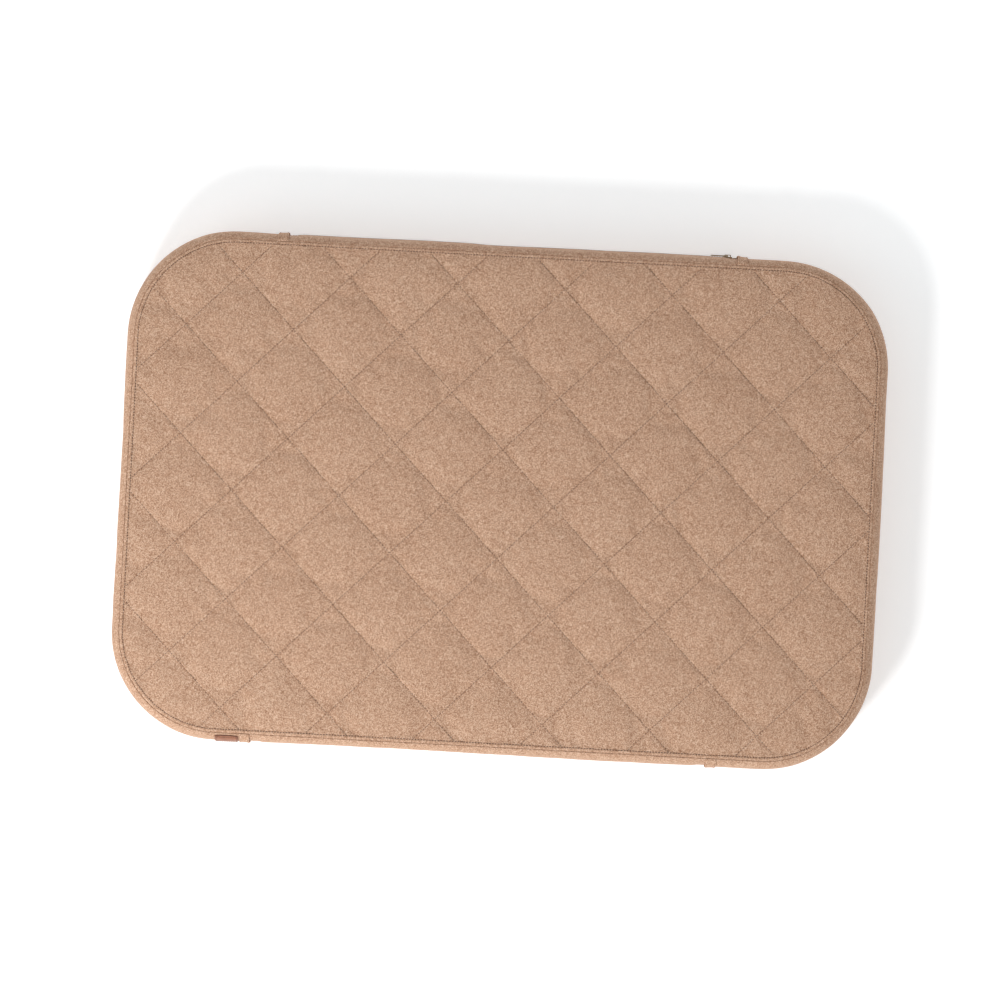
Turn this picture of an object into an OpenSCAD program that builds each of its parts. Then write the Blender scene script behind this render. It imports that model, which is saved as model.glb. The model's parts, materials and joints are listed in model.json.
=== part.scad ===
// Pet cushion bed: a quilted, zipped fabric cover over a lined foam core.
// Millimetres. Origin on the floor under the middle of the bed. X runs along the bed, -Y is the
// front long side with the leather patch, +Y is the rear long side with the zip, Z is up.

/* [Bed] */
// Length over the end bands
bed_length = 1067; // [1067:1:1300]
// Width over the side bands
bed_width = 714; // [600:1:900]
// Height from the floor to the quilted face
bed_height = 102; // [90:1:110]
// Corner radius in plan, at the fullest part of the side
corner_r = 152; // [120:1:152]

/* [Side profile] */
// Height of the fullest part of the side above the floor
belly_z = 48; // [46:1:54]
// How far the side bulges out between its shoulders
side_bulge = 3; // [1:0.5:4]
// Radius of the shoulder under the top seam
top_shoulder_r = 16; // [8:1:16]
// Radius of the shoulder above the bottom seam
bottom_shoulder_r = 7; // [4:1:10]

/* [Fabric] */
// Thickness of the side bands
band_t = 1.6; // [1.4:0.1:2]
// Thickness of the folded tabs over the band joints
tab_t = 1.6; // [1:0.1:2.5]
// Width of a folded tab
tab_w = 14.6; // [10:0.1:20]
// Thickness of the quilted face fabric
face_t = 1.2; // [0.8:0.1:1.6]
// Thickness of the batting under the face
batting_t = 8; // [5:0.5:10]
// Thickness of the backing under the batting
backing_t = 0.8; // [0.5:0.1:1.2]
// Thickness of the non-slip base fabric
base_t = 1.6; // [1.2:0.1:2]

/* [Stitching] */
// Distance between quilting diamonds along the bed
quilt_pitch_x = 150; // [80:1:200]
// Distance between quilting diamonds across the bed
quilt_pitch_y = 152; // [80:1:200]
// Shift of the quilting towards the rear
quilt_shift_y = -6; // [-40:1:40]
// Width of a line of stitches
thread_w = 0.8; // [0.5:0.1:1.2]
// Height of a line of stitches above the fabric
thread_h = 0.4; // [0.2:0.1:0.6]
// Distance of the edge stitching inside the edge of the face
edge_stitch_inset = 4; // [1:0.5:8]

/* [Band joints] */
// Distance of both rear joints from the middle
rear_joint_x = 314; // [250:1:330]
// Distance of the front left joint from the middle
front_left_joint_x = 332; // [250:1:332]
// Distance of the front right joint from the middle
front_right_joint_x = 306; // [250:1:340]
// Seam allowance of the middle bands under the end bands
seam_allowance = 12; // [8:1:16]

/* [Leather patch] */
// Side of the square leather patch
patch_size = 34; // [20:1:34]
// Thickness of the leather patch
patch_t = 1.8; // [1:0.1:2.5]
// Distance of the patch's top edge below the top seam
patch_drop = 1; // [1:0.5:10]

/* [Zips] */
// Width of one zip tape
tape_w = 14; // [12:0.5:16]
// Thickness of a zip tape
tape_t = 0.6; // [0.5:0.1:0.8]
// Thickness of a zip coil
coil_t = 2.2; // [2:0.1:2.4]
// Width of one half of the coil
coil_w = 3; // [2.6:0.1:3.2]
// Gap between the two halves, which the slider's post runs in
coil_gap = 1.2; // [1:0.1:1.4]
// Gap between the fabric edges on either side of a zip
zip_window = 12; // [11.5:0.1:13]
// Distance of the bottom stop from the end of the zip's opening
stop_setback = 12; // [12:1:40]
// Height of the liner's zip above the floor
liner_zip_z = 35; // [34:1:36]
// Half the length of the liner's zip
liner_zip_x = 300; // [250:1:320]

/* [Liner and foam] */
// Distance of the liner's wall inside the fullest part of the cover
liner_inset = 11.5; // [11.5:0.1:12]
// Thickness of the liner's fabric
liner_t = 0.8; // [0.6:0.1:1]
// Distance of the foam's side inside the fullest part of the cover
foam_inset = 15; // [15:0.1:18]
// Thickness of the soft foam slab on top
comfort_t = 38; // [25:1:45]
// Gap between plies that are not sewn together
ply_gap = 0.6; // [0.3:0.1:0.8]

/* [Hidden] */
$fn = 96;
EPS = 0.01;
core_x = bed_length / 2 - corner_r;
core_y = bed_width / 2 - corner_r;
facets = 24;
band_bottom_z = base_t;
band_top_z = bed_height - face_t;
centre_depth = band_t;
tape_depth = centre_depth + band_t;

batting_top_z = band_top_z;
backing_top_z = batting_top_z - batting_t;
quilt_bottom_z = backing_top_z - backing_t;
liner_top_z = quilt_bottom_z - ply_gap;
liner_bottom_z = base_t + ply_gap;
foam_top_z = liner_top_z - liner_t - ply_gap;
foam_bottom_z = liner_bottom_z + liner_t + ply_gap;
comfort_bottom_z = foam_top_z - comfort_t;

patch_top_z = band_top_z - patch_drop;
patch_right_x = -front_left_joint_x - tab_w;
patch_stitch_inset = 2.5;

quilt_angle = atan(quilt_pitch_y / quilt_pitch_x);
quilt_lines = ceil((bed_length / quilt_pitch_x + bed_width / quilt_pitch_y) / 2);
quilt_line_l = 2 * bed_length;

// Slider, in its own frame: X along the zip, Y away from the bed, Z up, origin at its middle
// on the outer face of the tape
run_clear = 0.35;
slider_l = 13;
slider_wide_w = 10;
slider_narrow_w = 8.6;
slider_taper_l = 4;
plate_t = 1.2;
rim_t = 0.6;
post_t = 0.6;
post_l = 4;
front_plate_y = coil_t + run_clear;
front_plate_top_y = front_plate_y + plate_t;
back_plate_top_y = -tape_t - run_clear;
pull_bar_r = 0.7;
pull_y = front_plate_top_y + run_clear + pull_bar_r;
crown_w = 3;
crown_l = 9;
crown_t = 1;
crown_post_l = 1.2;
crown_bottom_y = pull_y + pull_bar_r + run_clear;
pull_l = 24;
pull_w = 6.6;
pull_arm_w = 1.2;
pull_arm_l = 8;
pull_hole_r = 1.8;
pull_tip_inset = 5.5;
stop_l = 4.8;
stop_wrap = 0.4;
zip_end_x = rear_joint_x - 1;
zip_open_x = zip_end_x - stop_setback;
slider_x = zip_end_x - stop_l - 1 - slider_l / 2;
liner_slider_x = liner_zip_x - stop_l - 1 - slider_l / 2;
zip_y = core_y + corner_r - tape_depth;
liner_zip_y = core_y + corner_r - liner_inset - liner_t;

FABRIC = [0.76, 0.61, 0.51];
FABRIC_DARK = [0.66, 0.51, 0.41];
BASE_FABRIC = [0.22, 0.21, 0.20];
LEATHER = [0.66, 0.43, 0.30];
THREAD = [0.32, 0.22, 0.16];
LINER = [0.93, 0.93, 0.91];

// ---- Side profile ----

// How far a round shoulder of radius r turns in, at height h above its start
function shoulder(h, r) = h <= 0 ? 0 : r - sqrt(max(0, r * r - h * h));

// How far a shallow bulge stands back, at distance h from its fullest part, if it is flat at h_end
function bulge(h, h_end) = side_bulge * pow(min(1, h / h_end), 2);

// How far the side stands back from its fullest part, at height z
function barrel(z) = z > belly_z
    ? bulge(z - belly_z, bed_height - top_shoulder_r - belly_z)
        + shoulder(z - (bed_height - top_shoulder_r), top_shoulder_r)
    : bulge(belly_z - z, belly_z - bottom_shoulder_r)
        + shoulder(bottom_shoulder_r - z, bottom_shoulder_r);

// Heights of the corners of the chain of flat facets that stands for the curve, closer together
// at the shoulders
function facet_z(k) = bed_height / 2 * (1 - cos(180 * k / facets));
function facet_below(z) = min(facets - 1, floor(facets * acos(1 - 2 * z / bed_height) / 180));

// How far that chain stands back, at height z
function inset(z) = let(k = facet_below(z), z0 = facet_z(k), z1 = facet_z(k + 1), f = (z - z0) / (z1 - z0))
    (1 - f) * barrel(z0) + f * barrel(z1);

// Heights at which a strip from z0 to z1 has a corner
function steps(z0, z1) = concat(
    [z0],
    [for (k = [1 : facets - 1]) let(z = facet_z(k)) if (z > z0 + EPS && z < z1 - EPS) z],
    [z1]
);

// Section of a strip of the side between two heights and two depths under the surface.
// The section's X is the distance out from the line of the corner centres.
module strip(z0, z1, outer_depth, inner_depth) {
    heights = steps(z0, z1);
    n = len(heights);
    outer = [for (i = [0 : n - 1]) [corner_r - inset(heights[i]) - outer_depth, heights[i]]];
    inner = [for (i = [n - 1 : -1 : 0]) [corner_r - inset(heights[i]) - inner_depth, heights[i]]];
    polygon(concat(outer, inner));
}

// ---- Sweeps of a section round the bed ----

module rear_run(x0, x1) {
    translate([x0, core_y, 0]) rotate([90, 0, 90]) linear_extrude(x1 - x0) children();
}

module front_run(x0, x1) {
    mirror([0, 1, 0]) rear_run(x0, x1) children();
}

module right_run() {
    translate([core_x, core_y, 0]) rotate([90, 0, 0]) linear_extrude(2 * core_y) children();
}

module rear_right_corner() {
    translate([core_x, core_y, 0]) rotate_extrude(angle = 90) children();
}

// One short end with both of its corners, and a run along each long side
module right_wrap(front_x, rear_x) {
    right_run() children();
    rear_right_corner() children();
    mirror([0, 1, 0]) rear_right_corner() children();
    rear_run(rear_x, core_x) children();
    front_run(front_x, core_x) children();
}

// ---- Flat plies ----

// Rounded rectangle whose edge is set back from the fullest part of the side
module outline(edge_inset) {
    r = corner_r - edge_inset;
    square([2 * core_x + 2 * r, 2 * core_y], center = true);
    square([2 * core_x, 2 * core_y + 2 * r], center = true);
    for (x = [-core_x, core_x], y = [-core_y, core_y]) {
        translate([x, y]) circle(r);
    }
}

module ply(z0, z1, edge_inset) {
    translate([0, 0, z0]) linear_extrude(z1 - z0) outline(edge_inset);
}

// ---- Quilted top ----

module top_face() {
    color(FABRIC) ply(band_top_z, bed_height, inset(band_top_z));
}

module top_batting() {
    color("white") ply(backing_top_z, batting_top_z, inset(band_top_z) + band_t + centre_depth + EPS);
}

module top_backing() {
    color("ivory") ply(quilt_bottom_z, backing_top_z, inset(band_top_z) + band_t + centre_depth + EPS);
}

// ---- Side bands and tabs ----

module end_section() {
    strip(band_bottom_z, band_top_z, 0, band_t);
}

module tab_section() {
    strip(band_bottom_z, band_top_z, -tab_t, 0);
}

module right_end_band() {
    color(FABRIC) right_wrap(front_right_joint_x, rear_joint_x) end_section();
}

module left_end_band() {
    color(FABRIC) mirror([1, 0, 0]) right_wrap(front_left_joint_x, rear_joint_x) end_section();
}

module front_band() {
    color(FABRIC) front_run(-front_left_joint_x - seam_allowance, front_right_joint_x + seam_allowance)
        strip(band_bottom_z, band_top_z, centre_depth, centre_depth + band_t);
}

module rear_upper_band() {
    color(FABRIC) rear_run(-rear_joint_x - seam_allowance, rear_joint_x + seam_allowance)
        strip(belly_z + zip_window / 2, band_top_z, centre_depth, centre_depth + band_t);
}

module rear_lower_band() {
    color(FABRIC) rear_run(-rear_joint_x - seam_allowance, rear_joint_x + seam_allowance)
        strip(band_bottom_z, belly_z - zip_window / 2, centre_depth, centre_depth + band_t);
}

module front_left_tab() {
    color(FABRIC_DARK) front_run(-front_left_joint_x - tab_w, -front_left_joint_x) tab_section();
}

module front_right_tab() {
    color(FABRIC_DARK) front_run(front_right_joint_x, front_right_joint_x + tab_w) tab_section();
}

module rear_left_tab() {
    color(FABRIC_DARK) rear_run(-rear_joint_x - tab_w, -rear_joint_x) tab_section();
}

module rear_right_tab() {
    color(FABRIC_DARK) rear_run(rear_joint_x, rear_joint_x + tab_w) tab_section();
}

module bottom_panel() {
    color(BASE_FABRIC) ply(0, base_t, inset(base_t));
}

module label_patch() {
    color(LEATHER) front_run(patch_right_x - patch_size, patch_right_x)
        strip(patch_top_z - patch_size, patch_top_z, -patch_t, 0);
}

// ---- Stitching ----

// Lines of the quilting that slope one way, laid out from the row of crossings at quilt_shift_y
module quilt_family(angle) {
    for (i = [-quilt_lines : quilt_lines - 1]) {
        translate([(i + 0.5) * quilt_pitch_x, quilt_shift_y]) rotate(angle)
            square([quilt_line_l, thread_w], center = true);
    }
}

module quilting_thread() {
    color(THREAD) translate([0, 0, bed_height]) linear_extrude(thread_h) intersection() {
        union() {
            quilt_family(quilt_angle);
            quilt_family(-quilt_angle);
        }
        outline(inset(band_top_z) + edge_stitch_inset + thread_w);
    }
}

module edge_thread() {
    color(THREAD) translate([0, 0, bed_height]) linear_extrude(thread_h) difference() {
        outline(inset(band_top_z) + edge_stitch_inset);
        outline(inset(band_top_z) + edge_stitch_inset + thread_w);
    }
}

// One line of the patch's stitching across its width, at height z
module patch_stitch_row(z) {
    front_run(patch_right_x - patch_size + patch_stitch_inset, patch_right_x - patch_stitch_inset)
        strip(z, z + thread_w, -patch_t - thread_h, -patch_t);
}

// One line of the patch's stitching down its height, starting at x
module patch_stitch_column(x) {
    front_run(x, x + thread_w)
        strip(patch_top_z - patch_size + patch_stitch_inset, patch_top_z - patch_stitch_inset,
            -patch_t - thread_h, -patch_t);
}

module patch_thread() {
    color(THREAD) {
        patch_stitch_row(patch_top_z - patch_size + patch_stitch_inset);
        patch_stitch_row(patch_top_z - patch_stitch_inset - thread_w);
        patch_stitch_column(patch_right_x - patch_size + patch_stitch_inset);
        patch_stitch_column(patch_right_x - patch_stitch_inset - thread_w);
    }
}

// ---- Zip parts ----

// A bar along X with its section given by its lowest and highest Y and Z
module bar(x0, x1, y0, y1, z0, z1) {
    translate([x0, y0, z0]) cube([x1 - x0, y1 - y0, z1 - z0]);
}

// Upper half of a zip's coil, from the middle gap up, on the outer face of its tape, between the
// outer ends of its stops
module half_coil(open_x, end_x, tape_y) {
    bar(-open_x + stop_l, end_x - stop_l, tape_y, tape_y + coil_t, coil_gap / 2, coil_gap / 2 + coil_w);
}

// Small clamp that closes the end of one half of the coil
module half_stop(x0, tape_y) {
    bar(x0, x0 + stop_l, tape_y, tape_y + coil_t + stop_wrap,
        coil_gap / 2, coil_gap / 2 + coil_w + stop_wrap);
}

module top_stops(end_x, tape_y) {
    half_stop(end_x - stop_l, tape_y);
    mirror([0, 0, 1]) half_stop(end_x - stop_l, tape_y);
}

module bottom_stop(open_x, tape_y) {
    half_h = coil_gap / 2 + coil_w + stop_wrap;
    bar(-open_x, -open_x + stop_l, tape_y, tape_y + coil_t + stop_wrap, -half_h, half_h);
}

// Outline of the slider's plates: wide where the halves part, narrow where they have met
module slider_plate(y0, y1) {
    rotate([90, 0, 0]) translate([0, 0, -y1]) linear_extrude(y1 - y0) polygon([
        [-slider_l / 2, -slider_narrow_w / 2],
        [slider_l / 2 - slider_taper_l, -slider_wide_w / 2],
        [slider_l / 2, -slider_wide_w / 2 + 1],
        [slider_l / 2, slider_wide_w / 2 - 1],
        [slider_l / 2 - slider_taper_l, slider_wide_w / 2],
        [-slider_l / 2, slider_narrow_w / 2]
    ]);
}

// Two plates with rims round the coil, a post between its halves, and a crown for the pull
module slider() {
    difference() {
        slider_plate(back_plate_top_y - plate_t, front_plate_top_y);
        bar(-slider_l, slider_l, run_clear, front_plate_y,
            -slider_narrow_w / 2 + rim_t, slider_narrow_w / 2 - rim_t);
        bar(-slider_l, slider_l, back_plate_top_y, run_clear + EPS, -slider_wide_w, slider_wide_w);
    }
    bar(slider_l / 2 - post_l, slider_l / 2 - 1, back_plate_top_y - EPS, front_plate_y + EPS,
        -post_t / 2, post_t / 2);
    for (x = [-crown_l / 2, crown_l / 2 - crown_post_l]) {
        bar(x, x + crown_post_l, front_plate_top_y - EPS, crown_bottom_y + crown_t,
            -crown_w / 2, crown_w / 2);
    }
    bar(-crown_l / 2, crown_l / 2, crown_bottom_y, crown_bottom_y + crown_t, -crown_w / 2, crown_w / 2);
}

// Pull with its hinge bar at its own origin, lying flat towards -X
module pull() {
    arm_z = crown_w / 2 + run_clear;
    translate([0, 0, -arm_z - pull_arm_w]) cylinder(h = 2 * (arm_z + pull_arm_w), r = pull_bar_r, $fn = 32);
    for (z = [-arm_z - pull_arm_w, arm_z]) {
        bar(-pull_arm_l, 0, -pull_bar_r, pull_bar_r, z, z + pull_arm_w);
    }
    rotate([90, 0, 0]) translate([0, 0, -pull_bar_r]) linear_extrude(2 * pull_bar_r) difference() {
        union() {
            translate([-pull_l + pull_w / 2, -pull_w / 2])
                square([pull_l - pull_arm_l - pull_w / 2 + EPS, pull_w]);
            translate([-pull_l + pull_w / 2, 0]) circle(pull_w / 2);
        }
        translate([-pull_l + pull_tip_inset, 0]) circle(pull_hole_r);
    }
}

// ---- Cover zip ----

module zip_upper_tape() {
    color("saddlebrown") rear_run(-rear_joint_x - seam_allowance, rear_joint_x + seam_allowance)
        strip(belly_z + coil_gap / 2, belly_z + tape_w, tape_depth, tape_depth + tape_t);
}

module zip_lower_tape() {
    color("saddlebrown") rear_run(-rear_joint_x - seam_allowance, rear_joint_x + seam_allowance)
        strip(belly_z - tape_w, belly_z - coil_gap / 2, tape_depth, tape_depth + tape_t);
}

module zip_upper_coil() {
    color("sienna") translate([0, 0, belly_z]) half_coil(zip_open_x, zip_end_x, zip_y);
}

module zip_lower_coil() {
    color("sienna") translate([0, 0, belly_z]) mirror([0, 0, 1]) half_coil(zip_open_x, zip_end_x, zip_y);
}

module zip_top_stops() {
    color("peru") translate([0, 0, belly_z]) top_stops(zip_end_x, zip_y);
}

module zip_bottom_stop() {
    color("peru") translate([0, 0, belly_z]) bottom_stop(zip_open_x, zip_y);
}

module zip_slider() {
    color("darkgoldenrod") translate([slider_x, zip_y, belly_z]) slider();
}

module zip_pull() {
    color("goldenrod") translate([slider_x, zip_y + pull_y, belly_z]) pull();
}

// ---- Liner with its own zip ----

// Wall band of the liner between two heights
module liner_wall(z0, z1) {
    difference() {
        ply(z0, z1, liner_inset);
        ply(z0 - 1, z1 + 1, liner_inset + liner_t);
    }
}

// Opening left in the liner's rear wall round its zip
module liner_window() {
    bar(-liner_zip_x, liner_zip_x, liner_zip_y - 1, liner_zip_y + liner_t + 1,
        liner_zip_z - zip_window / 2, liner_zip_z + zip_window / 2);
}

module liner_top() {
    color(LINER) {
        ply(liner_top_z - liner_t, liner_top_z, liner_inset);
        difference() {
            liner_wall(liner_zip_z, liner_top_z - liner_t);
            liner_window();
        }
    }
}

module liner_bottom() {
    color(LINER) {
        ply(liner_bottom_z, liner_bottom_z + liner_t, liner_inset);
        difference() {
            liner_wall(liner_bottom_z + liner_t, liner_zip_z);
            liner_window();
        }
    }
}

module liner_tape() {
    bar(-liner_zip_x - seam_allowance, liner_zip_x + seam_allowance,
        liner_zip_y - tape_t, liner_zip_y, coil_gap / 2, tape_w);
}

module liner_upper_tape() {
    color("gray") translate([0, 0, liner_zip_z]) liner_tape();
}

module liner_lower_tape() {
    color("gray") translate([0, 0, liner_zip_z]) mirror([0, 0, 1]) liner_tape();
}

module liner_upper_coil() {
    color("dimgray") translate([0, 0, liner_zip_z]) half_coil(liner_zip_x, liner_zip_x, liner_zip_y);
}

module liner_lower_coil() {
    color("dimgray") translate([0, 0, liner_zip_z]) mirror([0, 0, 1])
        half_coil(liner_zip_x, liner_zip_x, liner_zip_y);
}

module liner_top_stops() {
    color("silver") translate([0, 0, liner_zip_z]) top_stops(liner_zip_x, liner_zip_y);
}

module liner_bottom_stop() {
    color("silver") translate([0, 0, liner_zip_z]) bottom_stop(liner_zip_x, liner_zip_y);
}

// The liner's slider has its small pull folded flat under the cover, so they are one piece
module liner_slider() {
    color("silver") translate([liner_slider_x, liner_zip_y, liner_zip_z]) slider();
}

// ---- Foam ----

module foam_comfort_layer() {
    color("lightskyblue") ply(comfort_bottom_z, foam_top_z, foam_inset);
}

module foam_support_layer() {
    color("khaki") ply(foam_bottom_z, comfort_bottom_z, foam_inset);
}

top_face();
top_batting();
top_backing();
left_end_band();
right_end_band();
front_band();
rear_upper_band();
rear_lower_band();
front_left_tab();
front_right_tab();
rear_left_tab();
rear_right_tab();
bottom_panel();
label_patch();
quilting_thread();
edge_thread();
patch_thread();
zip_upper_tape();
zip_lower_tape();
zip_upper_coil();
zip_lower_coil();
zip_top_stops();
zip_bottom_stop();
zip_slider();
zip_pull();
liner_top();
liner_bottom();
liner_upper_tape();
liner_lower_tape();
liner_upper_coil();
liner_lower_coil();
liner_top_stops();
liner_bottom_stop();
liner_slider();
foam_comfort_layer();
foam_support_layer();
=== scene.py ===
"""Pet cushion bed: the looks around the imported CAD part, in metres and in the part's own frame."""

import json
import math

import bpy
import numpy as np
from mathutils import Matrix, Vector
from mathutils.kdtree import KDTree

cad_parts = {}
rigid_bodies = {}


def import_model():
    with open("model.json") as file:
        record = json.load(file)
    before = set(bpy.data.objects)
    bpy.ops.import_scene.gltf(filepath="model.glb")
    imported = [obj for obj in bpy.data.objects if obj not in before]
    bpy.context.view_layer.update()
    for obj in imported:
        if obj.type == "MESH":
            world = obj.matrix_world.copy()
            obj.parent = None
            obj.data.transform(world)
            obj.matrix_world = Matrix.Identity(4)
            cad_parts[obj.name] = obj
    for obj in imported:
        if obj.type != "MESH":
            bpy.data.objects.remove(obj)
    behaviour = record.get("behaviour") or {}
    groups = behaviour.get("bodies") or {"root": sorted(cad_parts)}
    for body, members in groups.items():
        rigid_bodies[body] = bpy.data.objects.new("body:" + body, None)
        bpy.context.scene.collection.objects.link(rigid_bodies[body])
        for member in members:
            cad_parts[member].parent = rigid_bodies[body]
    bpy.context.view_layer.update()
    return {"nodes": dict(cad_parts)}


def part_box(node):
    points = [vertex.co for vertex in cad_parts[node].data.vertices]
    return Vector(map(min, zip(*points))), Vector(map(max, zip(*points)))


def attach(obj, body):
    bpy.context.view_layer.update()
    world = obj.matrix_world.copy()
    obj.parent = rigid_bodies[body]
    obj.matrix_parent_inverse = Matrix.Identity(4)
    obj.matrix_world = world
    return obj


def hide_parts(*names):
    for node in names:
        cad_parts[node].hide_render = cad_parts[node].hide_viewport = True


for leftover in list(bpy.data.objects):
    bpy.data.objects.remove(leftover)
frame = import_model()
MM = 0.001

# ---- Sizes, from the frame or the same as in the CAD part ----

FACE_LO, FACE_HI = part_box("top_face")
WRAP_LO, WRAP_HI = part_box("right_end_band")
HALF_X, HALF_Y = WRAP_HI.x, WRAP_HI.y
CORNER_R = 152 * MM
CORE_X, CORE_Y = HALF_X - CORNER_R, HALF_Y - CORNER_R
ARC = CORNER_R * math.pi / 2
RIM_L = 4 * (CORE_X + CORE_Y + ARC)
BASE_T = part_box("bottom_panel")[1].z
BAND_T = WRAP_LO.z  # the bands start on top of the base fabric, which is as thick as they are
FACE_T = FACE_HI.z - FACE_LO.z
BELLY_Z = (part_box("zip_slider")[0].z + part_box("zip_slider")[1].z) / 2
WINDOW_LOW_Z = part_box("rear_lower_band")[1].z
WINDOW_HIGH_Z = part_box("rear_upper_band")[0].z

# Quilting: the crossings are this far apart, and one row of them lies at QUILT_Y
PITCH_X, PITCH_Y, QUILT_Y = 150 * MM, 152 * MM, -6 * MM
LINE_GAP = 1 / math.hypot(1 / PITCH_X, 1 / PITCH_Y)
PLANE_Z = FACE_LO.z + 0.3 * MM
PILLOW_H, GROOVE_H, GROOVE_W = 2.0 * MM, 0.6 * MM, 2.0 * MM
CROWN_H = 2.0 * MM
PUFF_PRESSURE, PUFF_MOST, PUFF_FRAMES = 0.4, 2.5 * MM, 20
EDGE_INSET = 17.3 * MM  # the stitches round the face

# Side profile, in mm: (inset from the fullest part, height). The grooves are where the side turns
# into its seams, and FACE_ROLL is the face's edge, which meets the side in the top seam.
BULGE, LOW_R, HIGH_R = 3.0, 7.0, 16.0
HIGH_Z = FACE_HI.z / MM - HIGH_R
LOW_GROOVE = [(8.0, 2.4), (7.7, 1.45), (7.25, 0.95)]
HIGH_GROOVE = [(10.9, 99.85), (11.7, 100.3), (12.25, 100.4), (12.6, 100.1), (12.75, 99.3)]
FACE_ROLL = [
    (17.3, 101.1), (16.2, 101.45), (15, 101.4), (13.9, 101.1), (13.1, 100.65), (12.7, 100.1), (12.6, 99.2)
]


# ---- Noise and the rim ----


def noise(u, v, size_u, size_v, seed):
    """Smooth noise from -1 to 1 that changes over size_u and size_v."""
    table = np.random.default_rng(seed).uniform(-1, 1, (97, 97))
    a, b = np.broadcast_arrays(np.asarray(u) / size_u, np.asarray(v) / size_v)
    ia, ib = np.floor(a).astype(int), np.floor(b).astype(int)
    fa, fb = a - ia, b - ib
    fa, fb = fa * fa * (3 - 2 * fa), fb * fb * (3 - 2 * fb)
    i0, i1, j0, j1 = ia % 97, (ia + 1) % 97, ib % 97, (ib + 1) % 97
    low = table[i0, j0] * (1 - fa) + table[i1, j0] * fa
    high = table[i0, j1] * (1 - fa) + table[i1, j1] * fa
    return low * (1 - fb) + high * fb


def gathers(s, wave, seed):
    """The small uneven waves that stitches pull into an edge, from -1 to 1."""
    phase = 2 * math.pi * s / wave + 2.2 * noise(s, 0, 3 * wave, 1, seed)
    return np.sin(phase) * (0.65 + 0.35 * noise(s, 0, 5 * wave, 1, seed + 1))


def rim(s):
    """Centre point and outward direction at distance s round the rim, from the front middle to +X."""
    legs = [0, CORE_X, ARC, 2 * CORE_Y, ARC, 2 * CORE_X, ARC, 2 * CORE_Y, ARC, CORE_X]
    stations = np.cumsum(legs)
    s = np.asarray(s) % RIM_L
    angle = np.radians(np.interp(s, stations, [-90, -90, 0, 0, 90, 90, 180, 180, 270, 270]))
    x = np.interp(s, stations, np.array([0, 1, 1, 1, 1, -1, -1, -1, -1, 0]) * CORE_X)
    y = np.interp(s, stations, np.array([-1, -1, -1, 1, 1, 1, 1, -1, -1, -1]) * CORE_Y)
    return np.stack([x, y], -1), np.stack([np.cos(angle), np.sin(angle)], -1)


def rear_s(x):
    """Distance round the rim to the place x on the rear side."""
    return 2 * (CORE_X + CORE_Y + ARC) - x


def out_of_core(x, y):
    """Nearest point of the rectangle of corner centres, and the direction and distance from it."""
    core = np.stack([np.clip(x, -CORE_X, CORE_X), np.clip(y, -CORE_Y, CORE_Y)], -1)
    away = np.stack([x, y], -1) - core
    far = np.linalg.norm(away, axis=-1)
    return core, away / np.maximum(far, 1e-9)[..., None], far


def edge_distance(x, y, inset):
    """Signed distance to the outline at that inset, negative inside."""
    q = np.stack([np.abs(x) - CORE_X, np.abs(y) - CORE_Y], -1)
    outside = np.linalg.norm(np.maximum(q, 0), axis=-1)
    return outside + np.minimum(q.max(-1), 0) - (CORNER_R - inset)


# ---- Mesh tools ----


def piece(name, points, faces, material, slot, uv=None, stands_for=()):
    """A mesh piece of the object. uv is one pair of metres per point, which the weave follows."""
    mesh = bpy.data.meshes.new(name)
    mesh.from_pydata(np.asarray(points).reshape(-1, 3).tolist(), [], faces)
    mesh.validate()
    if uv is not None:
        corners = np.zeros(len(mesh.loops), int)
        mesh.loops.foreach_get("vertex_index", corners)
        layer = mesh.uv_layers.new(name="weave")
        layer.data.foreach_set("uv", np.asarray(uv).reshape(-1, 2)[corners].astype(np.float32).ravel())
    mesh.polygons.foreach_set("use_smooth", np.ones(len(mesh.polygons), bool))
    mesh.materials.append(material)
    obj = bpy.data.objects.new(name, mesh)
    bpy.context.scene.collection.objects.link(obj)
    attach(obj, "bed")
    if stands_for:
        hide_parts(*stands_for)
    return obj


def quads(index, loop=False):
    """Faces of a grid of point numbers, which wraps in its first direction if it is a loop."""
    if loop:
        index = np.concatenate([index, index[:1]])
    corners = [index[:-1, :-1], index[1:, :-1], index[1:, 1:], index[:-1, 1:]]
    return np.stack([c.ravel() for c in corners], -1).tolist()


def spaced(start, end, step, edge):
    """Places from start up to end, about step apart, and closer over a round edge at both ends."""
    inner = np.linspace(start + edge, end - edge, max(2, round((end - start) / step)))
    near = edge * np.array([0, 0.08, 0.3, 0.6])
    return np.concatenate([start + near, inner, end - near[::-1]])


def cross_rows(points):
    """Unit normals of a grid of points."""
    normal = np.cross(np.gradient(points, axis=0), np.gradient(points, axis=1))
    return normal / np.maximum(np.linalg.norm(normal, axis=-1), 1e-12)[..., None]


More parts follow.
